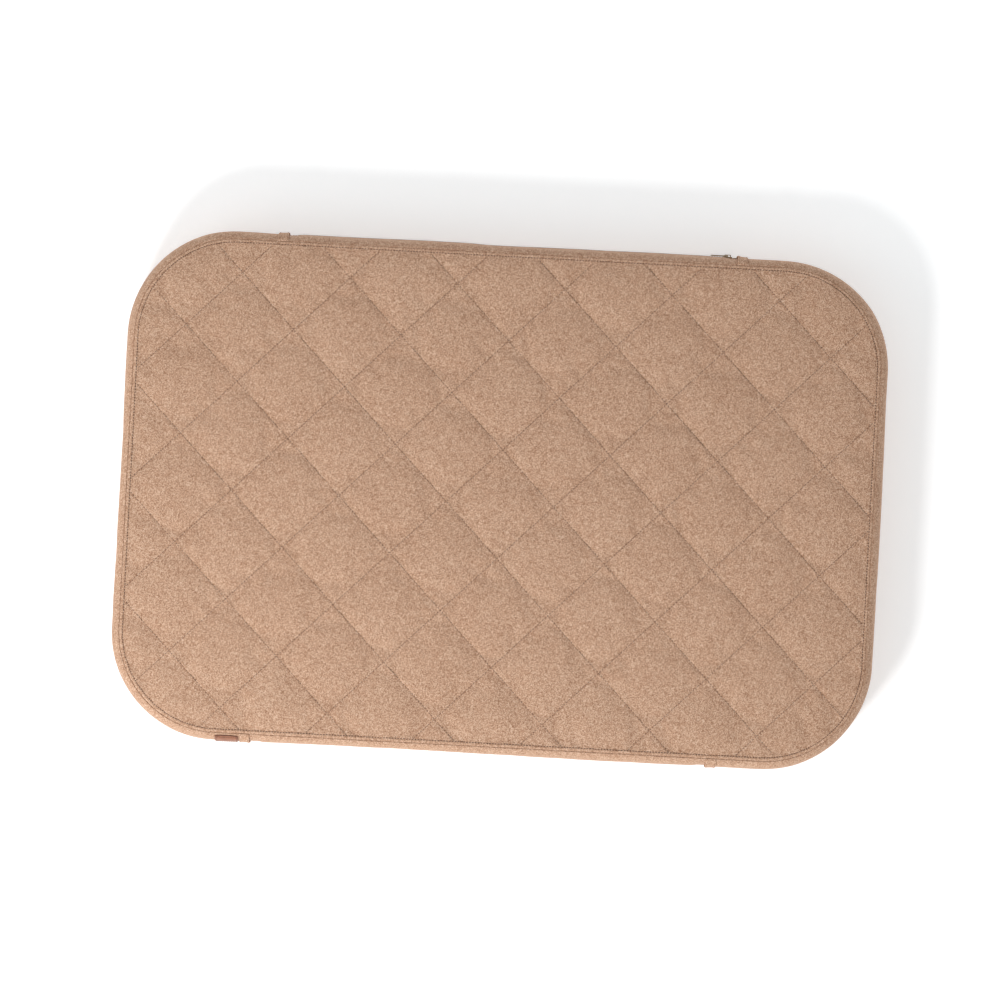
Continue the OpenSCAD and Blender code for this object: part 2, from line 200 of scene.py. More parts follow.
def shell(points, uv, thickness):
    """A closed sheet with round edges about a grid of points: its points, faces and uv."""
    half = thickness / 2
    u, v = uv[..., 0], uv[..., 1]
    edge_v = np.minimum(v - v.min(1, keepdims=True), v.max(1, keepdims=True) - v)
    edge_u = np.minimum(u - u.min(0, keepdims=True), u.max(0, keepdims=True) - u)
    share = np.minimum(np.clip(edge_v / half, 0, 1), np.clip(edge_u / half, 0, 1))
    full = np.sqrt(np.clip(1 - (1 - share) ** 2, 0, 1))
    offset = cross_rows(points) * (half * full)[..., None]
    count = points.shape[0] * points.shape[1]
    outer = np.arange(count).reshape(points.shape[:2])
    inner = np.where(full > 1e-6, outer + count, outer)
    faces = quads(outer) + [f[::-1] for f in quads(inner)]
    faces = [f for f in faces if len(set(f)) > 2]
    every = np.concatenate([(points + offset).reshape(-1, 3), (points - offset).reshape(-1, 3)])
    used = np.unique(np.concatenate([np.ravel(f) for f in faces]))
    renumber = np.zeros(2 * count, int)
    renumber[used] = np.arange(len(used))
    both_uv = np.concatenate([uv.reshape(-1, 2)] * 2)
    return every[used], [renumber[f].tolist() for f in faces], both_uv[used]


def sheet_piece(name, points, uv, thickness, material, slot, held, rests_on, **more):
    """A piece of cloth: a closed sheet of that thickness about the grid of points."""
    every, faces, flat_uv = shell(points, uv, thickness)
    obj = piece(name, every, faces, material, slot, uv=flat_uv, **more)


# ---- Side surface ----


def side_profile():
    """Distance along the side from the bottom seam's groove up, and the inset and height there."""
    turns_in, turns_out = np.radians([62, 50, 38, 26, 13]), np.radians([9, 18, 27, 36, 45, 54])
    low = [(BULGE + LOW_R * (1 - math.cos(p)), LOW_R * (1 - math.sin(p))) for p in turns_in]
    heights = np.linspace(LOW_R, HIGH_Z, 29)
    belly = BELLY_Z / MM
    reach = np.where(heights > belly, HIGH_Z - belly, belly - LOW_R)
    middle = list(zip(BULGE * ((heights - belly) / reach) ** 2, heights))
    high = [(BULGE + HIGH_R * (1 - math.cos(p)), HIGH_Z + HIGH_R * math.sin(p)) for p in turns_out]
    line = np.array(LOW_GROOVE + low + middle + high + HIGH_GROOVE) * MM
    along = np.concatenate([[0], np.cumsum(np.linalg.norm(np.diff(line, axis=0), axis=1))])
    return along, line[:, 0], line[:, 1]


SIDE_T, SIDE_INSET, SIDE_Z = side_profile()
SIDE_SLOPE = np.gradient(np.stack([-SIDE_INSET, SIDE_Z]), SIDE_T, axis=1)
SIDE_SLOPE /= np.linalg.norm(SIDE_SLOPE, axis=0)
HEIGHTS_UP = slice(len(LOW_GROOVE), -len(HIGH_GROOVE))


def t_at(z):
    """Distance up the side profile at height z."""
    return float(np.interp(z, SIDE_Z[HEIGHTS_UP], SIDE_T[HEIGHTS_UP]))


def side(s, t, depth=0.0, proud=0.0):
    """Points of the side: s round the rim, t up the profile, set in by depth, standing proud."""
    s, t = np.broadcast_arrays(s, t)
    core, out = rim(s)
    inset = np.interp(t, SIDE_T, SIDE_INSET) + depth
    up, away = -np.interp(t, SIDE_T, SIDE_SLOPE[0]), np.interp(t, SIDE_T, SIDE_SLOPE[1])
    reach = CORNER_R - inset + proud * away
    return np.stack(
        [core[..., 0] + out[..., 0] * reach, core[..., 1] + out[..., 1] * reach,
         np.interp(t, SIDE_T, SIDE_Z) + proud * up], -1
    )


def side_waves(s, t, seed):
    """How far the side fabric stands out from its even shape: soft waves, and gathers at the seams."""
    to_top, to_bottom = SIDE_T[-1] - t, t
    soft = 0.9 * noise(s, t, 110 * MM, 60 * MM, seed) + 0.35 * noise(s, t, 33 * MM, 48 * MM, seed + 1)
    fade = np.clip(np.minimum(to_top, to_bottom) / (16 * MM), 0, 1)
    top = 0.42 * gathers(s, 10.5 * MM, seed + 2) * np.exp(-((to_top - 5 * MM) / (5.5 * MM)) ** 2)
    bottom = 0.5 * gathers(s, 12 * MM, seed + 4) * np.exp(-((to_bottom - 6 * MM) / (7 * MM)) ** 2)
    return (soft * fade + top + bottom) * MM


def side_rows(t0, t1, edge):
    """Places up the side profile, closer together where it turns."""
    rows = spaced(t0, t1, 2.6 * MM, edge)
    turns = np.concatenate([SIDE_T[: len(LOW_GROOVE) + 5], SIDE_T[-len(HIGH_GROOVE) - 6 :]])
    inside = turns[(turns > min(rows) + edge) & (turns < max(rows) - edge)]
    rows = np.unique(np.round(np.concatenate([rows, inside]), 7))
    keep = np.concatenate([[True], np.diff(rows) > 0.02 * MM])
    return rows[keep]


# ---- Materials ----


class Shader:
    """A node material with short ways to add nodes to it."""

    def __init__(self, name, roughness, metallic=0.0):
        self.material = bpy.data.materials.new(name)
        self.material.use_nodes = True
        self.tree = self.material.node_tree
        self.bsdf = self.tree.nodes["Principled BSDF"]
        self.bsdf.inputs["Roughness"].default_value = roughness
        self.bsdf.inputs["Metallic"].default_value = metallic

    def node(self, kind, inputs=None, **settings):
        made = self.tree.nodes.new("ShaderNode" + kind)
        for key, value in settings.items():
            setattr(made, key, value)
        for key, value in (inputs or {}).items():
            if isinstance(value, bpy.types.NodeSocket):
                self.tree.links.new(value, made.inputs[key])
            else:
                made.inputs[key].default_value = value
        return made

    def math(self, operation, a, b=0.0, c=0.0):
        return self.node("Math", {0: a, 1: b, 2: c}, operation=operation).outputs[0]

    def noise(self, vector, scale, detail=2.0, rough=0.5):
        inputs = {"Vector": vector, "Scale": scale, "Detail": detail, "Roughness": rough}
        return self.node("TexNoise", inputs).outputs[0]

    def vector(self, x, y, z=0.0):
        return self.node("CombineXYZ", {0: x, 1: y, 2: z}).outputs[0]

    def mix(self, share, a, b):
        """Colour a where share is 0 and b where it is 1."""
        made = self.node("Mix", data_type="RGBA")
        for socket, value in ((made.inputs[0], share), (made.inputs[6], a), (made.inputs[7], b)):
            if isinstance(value, bpy.types.NodeSocket):
                self.tree.links.new(value, socket)
            else:
                socket.default_value = value
        return made.outputs[2]

    def ramp(self, share, stops):
        """Colours along stops of (place, colour)."""
        made = self.node("ValToRGB", {0: share})
        points = made.color_ramp.elements
        while len(points) < len(stops):
            points.new(1.0)
        for point, (place, colour) in zip(points, stops):
            point.position, point.color = place, colour
        return made.outputs[0]

    def metres(self):
        """The piece's own flat coordinates, in metres."""
        flat = self.node("SeparateXYZ", {0: self.node("UVMap", uv_map="weave").outputs[0]})
        return flat.outputs[0], flat.outputs[1]

    def place(self):
        """Where a point is in the row frame, in metres."""
        return self.node("TexCoord").outputs["Object"]

    def colour(self, socket):
        self.tree.links.new(socket, self.bsdf.inputs["Base Color"])

    def rough(self, share, low, high):
        inputs = {"Value": share, "To Min": low, "To Max": high}
        self.tree.links.new(self.node("MapRange", inputs).outputs[0], self.bsdf.inputs["Roughness"])

    def bump(self, height, distance, strength=1.0, before=None):
        inputs = {"Strength": strength, "Distance": distance, "Height": height}
        if before is not None:
            inputs["Normal"] = before
        made = self.node("Bump", inputs).outputs[0]
        self.tree.links.new(made, self.bsdf.inputs["Normal"])
        return made

    def sheen(self, weight, roughness, tint):
        self.bsdf.inputs["Sheen Weight"].default_value = weight
        self.bsdf.inputs["Sheen Roughness"].default_value = roughness
        self.bsdf.inputs["Sheen Tint"].default_value = (*tint, 1)


def rgb(red, green, blue):
    """Linear colour of a colour given from 0 to 255."""
    parts = [v / 255 for v in (red, green, blue)]
    return (*(p / 12.92 if p <= 0.04045 else ((p + 0.055) / 1.055) ** 2.4 for p in parts), 1.0)


CLOTH_ROUGHNESS = 0.9


def woven(name, dark, mid, light, pitch, slub=3.0, relief=0.32, contrast=1.0, flecks=0.2, weft=0.1):
    """A plain weave of uneven heathered yarns: dark, mid and light are the yarns' colours, pitch
    is the distance between yarns, slub is how many yarns' widths a shade runs along its yarn,
    relief is the yarns' height in mm, flecks is how much each crossing differs, and weft how much
    lighter the weft is."""
    m = Shader(name, CLOTH_ROUGHNESS)
    u, v = m.metres()
    wander = m.noise(m.vector(u, v), 24.0, 2.0)
    across = m.math("MULTIPLY_ADD", wander, 0.8, m.math("DIVIDE", u, pitch))
    along = m.math("MULTIPLY_ADD", wander, -0.8, m.math("DIVIDE", v, pitch))
    warp_number, weft_number = m.math("FLOOR", across), m.math("FLOOR", along)

    def round_yarn(place):
        """Height across a yarn, 1 at its middle and 0 at its edges."""
        from_middle = m.math("SUBTRACT", m.math("FRACT", place), 0.5)
        return m.math("COSINE", m.math("MULTIPLY", from_middle, math.pi))

    fu, fv = round_yarn(across), round_yarn(along)
    odd = m.math("PINGPONG", m.math("ADD", warp_number, weft_number), 1.0)
    lift = m.math("MULTIPLY_ADD", odd, 0.84, -0.42)
    warp_h = m.math("MULTIPLY", fu, m.math("MULTIPLY_ADD", lift, fv, 0.58))
    weft_h = m.math("MULTIPLY", fv, m.math("MULTIPLY_ADD", m.math("MULTIPLY", lift, -1.0), fu, 0.58))
    warp_on_top = m.math("GREATER_THAN", warp_h, weft_h)
    height = m.math("MAXIMUM", warp_h, weft_h)
    run = 1.0 / slub
    warp_vector = m.vector(m.math("MULTIPLY", warp_number, 7.31), m.math("MULTIPLY", along, run), 3.7)
    weft_vector = m.vector(m.math("MULTIPLY", across, run), m.math("MULTIPLY", weft_number, 7.31), 51.3)
    warp_tone, weft_tone = m.noise(warp_vector, 1.0, 1.5), m.noise(weft_vector, 1.0, 1.5)
    weft_tone, warp_tone = m.math("ADD", weft_tone, weft / 2), m.math("SUBTRACT", warp_tone, weft / 2)
    yarn_tone = m.node("Mix", {0: warp_on_top, 2: weft_tone, 3: warp_tone}, data_type="FLOAT").outputs[0]
    cross = m.node("TexWhiteNoise", {"Vector": m.vector(warp_number, weft_number, 5.0)}).outputs[0]
    fleck = m.math("MULTIPLY_ADD", cross, flecks, -flecks / 2)
    cloudy = m.math("MULTIPLY_ADD", m.noise(m.vector(u, v), 9.0, 3.0), 0.08, -0.04)
    tone = m.math("ADD", m.math("ADD", yarn_tone, fleck), cloudy)
    spread = 0.2 / contrast
    yarn = m.ramp(tone, [(0.5 - spread, dark), (0.5, mid), (0.5 + spread, light)])
    # Painted shade: where the yarns dip between each other, the colour is mixed towards a darker copy of
    # the dark yarn.
    gap = m.math("MULTIPLY", m.math("SUBTRACT", 1.0, m.math("SMOOTH_MIN", height, 0.62, 0.2)), 0.55)
    m.colour(m.mix(gap, yarn, tuple(c * 0.42 for c in dark[:3]) + (1.0,)))
    fibres = m.noise(m.vector(u, v), 2600.0, 2.0)
    m.bump(m.math("MULTIPLY_ADD", fibres, 0.25, height), relief * MM)
    m.rough(fibres, CLOTH_ROUGHNESS - 0.06, CLOTH_ROUGHNESS + 0.06)
    m.sheen(0.18, 0.45, mid[:3])
    return m.material


def make_thread(name, dark, light):
    """Twisted sewing thread: u runs round the thread and v along it."""
    m = Shader(name, 0.62)
    u, v = m.metres()
    turn = m.math("SINE", m.math("MULTIPLY_ADD", v, 5200.0, m.math("MULTIPLY", u, 3900.0)))
    tone = m.noise(m.place(), 60.0, 3.0)
    # Painted shade and highlight: the colour darkens in the twist's grooves and lightens on its ridges,
    # following the same wave as the bump.
    m.colour(m.mix(m.math("MULTIPLY_ADD", turn, 0.22, tone), dark, light))
    m.bump(turn, 0.06 * MM)
    m.sheen(0.25, 0.4, light[:3])
    return m.material


def make_leather(name, half):
    """Grained leather with burnished edges: its flat coordinates start at the patch's middle."""
    m = Shader(name, 0.5)
    u, v = m.metres()
    flat = m.vector(u, v)
    cells = {"Vector": flat, "Scale": 950.0}
    pores = m.node("TexVoronoi", cells, feature="DISTANCE_TO_EDGE").outputs[0]
    creases = m.noise(flat, 420.0, 5.0, 0.6)
    tone = m.noise(flat, 70.0, 3.0)
    body = m.ramp(tone, [(0.3, rgb(120, 74, 50)), (0.55, rgb(143, 91, 64)), (0.8, rgb(160, 106, 78))])
    reach = m.math("MAXIMUM", m.math("ABSOLUTE", u), m.math("ABSOLUTE", v))
    edge = m.node("MapRange", {"Value": reach, "From Min": half - 1.6 * MM, "From Max": half}).outputs[0]
    m.colour(m.mix(m.math("MULTIPLY", edge, 0.75), body, rgb(88, 50, 34)))
    grain = m.math("ADD", m.math("MINIMUM", pores, 0.35), m.math("MULTIPLY", creases, 0.6))
    m.bump(grain, 0.16 * MM)
    m.rough(creases, 0.4, 0.62)
    m.bsdf.inputs["Specular IOR Level"].default_value = 0.45
    return m.material


def make_metal(name, tint, dull, scratch, bare=1.0):
    """Tumbled metal with fine scratches, duller in patches; bare is how little lacquer is on it."""
    m = Shader(name, 0.3, bare)
    where = m.place()
    patches = m.noise(where, 220.0, 4.0)
    m.colour(m.mix(patches, tint, dull))
    stretched = m.node("Mapping", {"Vector": where, "Scale": (1.0, 9.0, 9.0)}).outputs[0]
    lines = m.noise(stretched, 900.0, 3.0)
    m.rough(lines, 0.24, 0.46)
    m.bump(lines, scratch)
    return m.material


def make_foam(name, deep, tint, cell):
    """Open-cell foam."""
    m = Shader(name, 0.95)
    where = m.place()
    cells = m.node("TexVoronoi", {"Vector": where, "Scale": 1 / cell}).outputs[0]
    fine = m.noise(where, 3.0 / cell, 2.0)
    m.colour(m.mix(m.math("MULTIPLY_ADD", fine, 0.35, m.math("MULTIPLY", cells, 0.9)), tint, deep))
    m.bump(m.math("ADD", cells, fine), 0.35 * cell)
    m.sheen(0.1, 0.6, tint[:3])
    return m.material


def make_fibre(name, deep, tint):
    """Lofted fibre: batting or non-woven backing."""
    m = Shader(name, 0.95)
    where = m.place()
    stretched = m.node("Mapping", {"Vector": where, "Scale": (1.0, 4.0, 2.0)}).outputs[0]
    turned = m.node("Mapping", {"Vector": where, "Scale": (4.0, 1.0, 2.0)}).outputs[0]
    fibres = m.math("ADD", m.noise(stretched, 260.0, 5.0, 0.7), m.noise(turned, 260.0, 5.0, 0.7))
    # Painted shade: the colour is darker where the fibres lie lower, following the same noise as the
    # bump.
    m.colour(m.mix(m.math("MULTIPLY", fibres, 0.5), deep, tint))
    m.bump(fibres, 0.5 * MM)
    m.sheen(0.3, 0.5, tint[:3])
    return m.material


def make_coated(name, deep, tint):
    """Coated waterproof knit: fine ribs under a smooth film, with soft creases."""
    m = Shader(name, 0.42)
    where = m.place()
    creases = m.noise(where, 38.0, 5.0, 0.55)
    knit = m.node("TexVoronoi", {"Vector": where, "Scale": 1400.0}).outputs[0]
    # Painted shade: the colour is darker in the creases' hollows and lighter on their ridges, following
    # the same noise as the bump.
    m.colour(m.mix(creases, deep, tint))
    m.bump(m.math("MULTIPLY_ADD", creases, 6.0, knit), 0.12 * MM)
    m.rough(creases, 0.34, 0.55)
    return m.material


def make_moulded(name, deep, tint, roughness, patches, grain, detail, depth):
    """Nylon or silicone: patches and grain are how fine its mottling and its texture are."""
    m = Shader(name, roughness)
    m.colour(m.mix(m.noise(m.place(), patches, detail), deep, tint))
    m.bump(m.noise(m.place(), grain, detail), depth)
    return m.material


YARNS = (rgb(154, 111, 82), rgb(209, 166, 136), rgb(242, 209, 182))
COVER_WEAVE = {"pitch": 1.2 * MM, "slub": 2.0, "contrast": 0.75, "flecks": 0.35, "weft": 0.1}
FACE_CLOTH = woven("heathered_face", *YARNS, **COVER_WEAVE)
SIDE_CLOTH = woven("heathered_side", *YARNS, **COVER_WEAVE)
TAB_CLOTH = woven("heathered_tab", *YARNS, **COVER_WEAVE)
BASE_YARNS = (rgb(34, 31, 28), rgb(52, 48, 44), rgb(76, 71, 65))
BASE_CLOTH = woven("base_cloth", *BASE_YARNS, pitch=0.9 * MM, relief=0.2)
TAPE_YARNS = (rgb(88, 70, 55), rgb(116, 94, 75), rgb(140, 116, 95))
TAPE_WEAVE = {"pitch": 0.55 * MM, "relief": 0.14}
TAPE_CLOTH = woven("zip_tape_cloth", *TAPE_YARNS, **TAPE_WEAVE)
LINER_YARNS = (rgb(186, 184, 178), rgb(208, 206, 200), rgb(226, 224, 219))
LINER_TAPE = woven("liner_tape_cloth", *LINER_YARNS, **TAPE_WEAVE)
THREAD = make_thread("brown_thread", rgb(62, 42, 30), rgb(112, 80, 58))
TAN_THREAD = make_thread("tan_thread", rgb(118, 82, 58), rgb(166, 126, 98))
BRASS = make_metal("aged_brass", rgb(176, 150, 112), rgb(134, 112, 82), 0.02 * MM, bare=0.35)
STEEL = make_metal("brushed_steel", rgb(196, 196, 194), rgb(150, 150, 148), 0.015 * MM)
NYLON = (0.38, 500.0, 2400.0, 2.0, 0.02 * MM)
COIL = make_moulded("brown_coil", rgb(70, 55, 43), rgb(112, 90, 70), *NYLON)
LINER_COIL = make_moulded("white_coil", rgb(190, 190, 186), rgb(226, 226, 222), *NYLON)
COMFORT_FOAM = make_foam("comfort_foam", rgb(120, 152, 178), rgb(178, 204, 222), 0.9 * MM)
SUPPORT_FOAM = make_foam("support_foam", rgb(196, 178, 134), rgb(240, 228, 196), 1.3 * MM)
BATTING = make_fibre("fibre_batting", rgb(206, 206, 200), rgb(246, 246, 242))
BACKING = make_fibre("nonwoven_backing", rgb(204, 200, 190), rgb(234, 231, 222))
LINER = make_coated("coated_liner", rgb(208, 212, 212), rgb(236, 238, 238))
SILICONE = (0.55, 300.0, 1500.0, 3.0, 0.03 * MM)
RUBBER = make_moulded("grip_rubber", rgb(30, 27, 25), rgb(58, 53, 48), *SILICONE)

# ---- Stitches ----

# A stitch's cross-sections: (place along it, size, height), both sizes in radii of its thread
STITCH_RINGS = [
    (0.0, 0.45, -0.5), (0.16, 0.95, 0.15), (0.5, 1.0, 0.45), (0.84, 0.95, 0.15), (1.0, 0.45, -0.5)
]
STITCH_SIDES = 5


def stitches(name, middles, along, normals, length, radius, material, slot, slant=0.0, seed=1, **more):
    """Separate stitches of that length at each of the middles. Each one rises from its needle hole
    and goes down into the next."""
    rng = np.random.default_rng(seed)
    along = along / np.linalg.norm(along, axis=-1, keepdims=True)
    normals = normals - along * (normals * along).sum(-1, keepdims=True)
    normals = normals / np.linalg.norm(normals, axis=-1, keepdims=True)
    across = np.cross(normals, along)
    turn = slant + rng.normal(0, 0.05, len(middles))
    along, across = (
        along * np.cos(turn)[:, None] + across * np.sin(turn)[:, None],
        across * np.cos(turn)[:, None] - along * np.sin(turn)[:, None],
    )
    size = length * rng.normal(1, 0.04, len(middles))
    angles = 2 * np.pi * np.arange(STITCH_SIDES) / STITCH_SIDES
    cosines, sines = np.cos(angles)[None, :, None], np.sin(angles)[None, :, None]
    circle = cosines * across[:, None] + sines * normals[:, None]
    rings, uv = [], []
    for place, swell, rise in STITCH_RINGS:
        centre = middles + along * ((place - 0.5) * size)[:, None] + normals * (rise * radius)
        rings.append(centre[:, None] + radius * swell * circle)
        uv.append(np.stack(np.broadcast_arrays(angles[None] * radius, place * size[:, None]), -1))
    points = np.stack(rings, 1)
    per = len(STITCH_RINGS) * STITCH_SIDES
    one = np.arange(per).reshape(len(STITCH_RINGS), STITCH_SIDES)
    faces = []
    for k in range(STITCH_SIDES):
        j = (k + 1) % STITCH_SIDES
        faces += [[low[k], low[j], high[j], high[k]] for low, high in zip(one[:-1], one[1:])]
    caps = [one[0, ::-1].tolist(), one[-1].tolist()]
    starts = np.arange(len(middles)) * per
    every = (np.array(faces)[None] + starts[:, None, None]).reshape(-1, 4).tolist()
    every += (np.array(caps)[None] + starts[:, None, None]).reshape(-1, STITCH_SIDES).tolist()
    piece(name, points, every, material, slot, uv=np.stack(uv, 1), **more)


def along_side(s, t, depth=0.0, proud=0.0):
    """Middles, directions and normals for stitches that follow the side at places (s, t)."""
    step = 0.5 * MM
    s, t = np.broadcast_arrays(np.atleast_1d(s).astype(float), np.atleast_1d(t).astype(float))
    here = side(s, t, depth, proud)
    ahead = side(s + step, t, depth, proud) - side(s - step, t, depth, proud)
    up = side(s, t + step, depth, proud) - side(s, t - step, depth, proud)
    return here, ahead, up, np.cross(ahead, up)


# ---- Quilted top ----


def line_distances(x, y):
    """Distance to the nearest quilting line of each family, and the diamond's two numbers."""
    a = x / PITCH_X + (y - QUILT_Y) / PITCH_Y - 0.5
    b = x / PITCH_X - (y - QUILT_Y) / PITCH_Y - 0.5
    gap_a, gap_b = (np.abs(k - np.round(k)) * LINE_GAP for k in (a, b))
    return gap_a, gap_b, np.floor(a), np.floor(b)


def face_plane(x, y):
    """Height of the quilting lines: a slightly crowned, slightly uneven plane."""
    crown = CROWN_H * (1 - (x / HALF_X) ** 2) * (1 - (y / HALF_Y) ** 2)
    uneven = 0.5 * MM * noise(x, y, 190 * MM, 150 * MM, 11)
    inside = np.clip(-edge_distance(x, y, EDGE_INSET) / (40 * MM), 0, 1)
    return PLANE_Z + (crown + uneven) * inside * inside * (3 - 2 * inside)


def pillow(x, y):
    """How far the padded face stands above its quilting lines and edge stitches."""
    gap_a, gap_b, number_a, number_b = line_distances(x, y)
    to_edge = np.maximum(-edge_distance(x, y, EDGE_INSET), 0)
    half = LINE_GAP / 2
    dome_a, dome_b = (1 - (1 - np.clip(g / half, 0, 1)) ** 2.1 for g in (gap_a, gap_b))
    dome_edge = 1 - (1 - np.clip(to_edge / (30 * MM), 0, 1)) ** 2.2
    nearest = np.minimum(np.minimum(gap_a, gap_b), to_edge)
    crease = 1 - np.exp(-nearest / GROOVE_W)
    own = 1 + 0.16 * np.sin(number_a * 12.9 + number_b * 78.2)
    along_a, along_b = (x - y) / math.sqrt(2), (x + y) / math.sqrt(2)
    puckers = np.exp(-gap_a / (6 * MM)) * gathers(along_a + number_b, 9.5 * MM, 21)
    puckers += np.exp(-gap_b / (6 * MM)) * gathers(along_b + number_a, 9.5 * MM, 25)
    ripple = 0.16 * MM * noise(x, y, 24 * MM, 24 * MM, 31) + 0.05 * MM * noise(x, y, 9 * MM, 9 * MM, 33)
    wave = (0.16 * MM * puckers + ripple) * (1 - np.exp(-nearest / (3 * MM)))
    return PILLOW_H * own * dome_a * dome_b * dome_edge + GROOVE_H * crease + wave


def diamond_cuts(places):
    """Where a diamond's sides are cut, as shares of a side, from places in mm up to its middle."""
    shares = np.array(places) * MM / LINE_GAP
    return np.concatenate([shares, [0.5], 1 - shares[1:][::-1]])


def cut_diamonds(cuts, inset, snap=0.5 * MM):
    """A grid that follows the quilting lines, cut to the outline at that inset: its points, its
    faces, and the numbers of its edge's points in order."""
    reach = math.ceil(HALF_X / PITCH_X + HALF_Y / PITCH_Y)
    lines = (np.arange(-reach, reach)[:, None] + cuts[None]).ravel()
    a, b = np.meshgrid(lines, lines, indexing="ij")
    x, y = PITCH_X * (a + b + 1) / 2, QUILT_Y + PITCH_Y * (a - b) / 2
    gap = edge_distance(x, y, inset)
    core, out, _ = out_of_core(x, y)
    near = np.abs(gap) < snap
    on_edge = core + out * (CORNER_R - inset)
    points = np.where(near[..., None], on_edge, np.stack([x, y], -1)).reshape(-1, 2).tolist()
    gap = np.where(near, 0.0, gap)
    index = np.arange(gap.size).reshape(gap.shape)
    cells = np.array(quads(index))[:, ::-1]
    inside = (gap <= 0).ravel()[cells]
    faces = cells[inside.all(1)].tolist()
    flat_gap = gap.ravel()
    crossings = {}

    def crossing(p, q):
        key = (min(p, q), max(p, q))
        if key not in crossings:
            start, end = np.array(points[key[0]]), np.array(points[key[1]])
            low, high = 0.0, 1.0
            first = flat_gap[key[0]] <= 0
            for _ in range(18):
                share = (low + high) / 2
                here = start + (end - start) * share
                if (edge_distance(here[0], here[1], inset) <= 0) == first:
                    low = share
                else:
                    high = share
            crossings[key] = len(points)
            points.append((start + (end - start) * low).tolist())
        return crossings[key]

    for cell in cells[inside.any(1) & ~inside.all(1)].tolist():
        cut = []
        for p, q in zip(cell, cell[1:] + cell[:1]):
            p_in, q_in = flat_gap[p] <= 0, flat_gap[q] <= 0
            if p_in:
                cut.append(p)
            if p_in != q_in and flat_gap[p if p_in else q] < 0:
                cut.append(crossing(p, q))
        if len(cut) > 2:
            faces.append(cut)
    used = sorted({p for face in faces for p in face})
    renumber = {old: new for new, old in enumerate(used)}
    flat = np.array([points[p] for p in used])
    faces = [[renumber[p] for p in face] for face in faces]
    edge = np.nonzero(np.abs(edge_distance(flat[:, 0], flat[:, 1], inset)) < 1e-6)[0]
    order = np.argsort(np.arctan2(flat[edge, 1], flat[edge, 0]))
    return flat, faces, edge[order]


def puff(obj, pinned):
    """Blows the face up between its stitches by cloth simulation, by PUFF_MOST at most."""
    group = obj.vertex_groups.new(name="stitched")
    group.add(np.nonzero(pinned)[0].tolist(), 1.0, "REPLACE")
    cloth = obj.modifiers.new("puff", "CLOTH")
    settings = cloth.settings
    settings.quality = 5
    settings.mass = 0.3
    settings.tension_stiffness = settings.compression_stiffness = 25
    settings.shear_stiffness = 12
    settings.bending_stiffness = 1.5
    settings.vertex_group_mass = group.name
    settings.use_pressure = True
    settings.uniform_pressure_force = PUFF_PRESSURE
    settings.shrink_min = -0.012
    settings.effector_weights.gravity = 0
    cloth.point_cache.frame_start, cloth.point_cache.frame_end = 1, PUFF_FRAMES
    for number in range(1, PUFF_FRAMES + 1):
        bpy.context.scene.frame_set(number)
    solved = obj.evaluated_get(bpy.context.evaluated_depsgraph_get()).data
    moved = np.zeros(len(solved.vertices) * 3, np.float32)
    solved.vertices.foreach_get("co", moved)
    obj.modifiers.remove(cloth)
    bpy.context.scene.frame_set(1)
    start = np.zeros(len(obj.data.vertices) * 3, np.float32)
    obj.data.vertices.foreach_get("co", start)
    moved, start = moved.reshape(-1, 3), start.reshape(-1, 3)
    step = moved - start
    size = np.linalg.norm(step, axis=1)
    step *= (PUFF_MOST * np.tanh(size / PUFF_MOST) / np.maximum(size, 1e-9))[:, None]
    return (start + step).astype(float)


def make_face():
    """The quilted face, rolled over at its edge into the top seam. Gives the points of its top."""
    cuts = diamond_cuts([0, 1.1, 2.5, 4.4, 7, 10.5, 15, 20.5, 26.5, 33, 39.5, 46])
    flat, faces, edge = cut_diamonds(cuts, 23 * MM)
    core, out, _ = out_of_core(flat[edge, 0], flat[edge, 1])
    x, y = flat[:, 0], flat[:, 1]
    points = [np.column_stack([flat, face_plane(x, y) + pillow(x, y)])]
    ring, count = edge, len(flat)
    pull = gathers(np.arctan2(flat[edge, 1], flat[edge, 0]) * 0.5, 9 * MM, 41)
    rolls = [(21.3, None), (20, None), (19, None), (18.1, None)] + FACE_ROLL
    for inset, height in rolls:
        around = core + out * (CORNER_R - inset * MM)
        if height is None:
            z = face_plane(around[:, 0], around[:, 1]) + pillow(around[:, 0], around[:, 1])
        else:
            z = np.full(len(ring), height * MM) + 0.12 * MM * pull
        points.append(np.column_stack([around, z]))
        following = np.arange(count, count + len(ring))
        a, b = ring, following
        faces += np.stack([a, b, np.roll(b, -1), np.roll(a, -1)], -1).tolist()
        ring, count = following, count + len(ring)
    points = np.concatenate(points)
    gap_a, gap_b, _, _ = line_distances(points[:, 0], points[:, 1])
    to_edge = edge_distance(points[:, 0], points[:, 1], EDGE_INSET)
    pinned = (np.minimum(gap_a, gap_b) < 0.05 * MM) | (to_edge > -0.05 * MM)
    uv = points[:, :2].copy()
    mesh = bpy.data.meshes.new("puffing")
    mesh.from_pydata(points.tolist(), [], faces)
    obj = bpy.data.objects.new("puffing", mesh)
    bpy.context.scene.collection.objects.link(obj)
    points = puff(obj, pinned)
    bpy.data.objects.remove(obj)
    under = points - np.array([0, 0, FACE_T])
    count = len(points)
    closing = np.stack([ring, ring + count, np.roll(ring, -1) + count, np.roll(ring, -1)], -1).tolist()
    faces = faces + [[p + count for p in face[::-1]] for face in faces] + closing
    obj = piece(
        "quilted_face", np.concatenate([points, under]), faces, FACE_CLOTH, "top_fabric",
        uv=np.concatenate([uv, uv]), stands_for=["top_face"],
    )
    return points


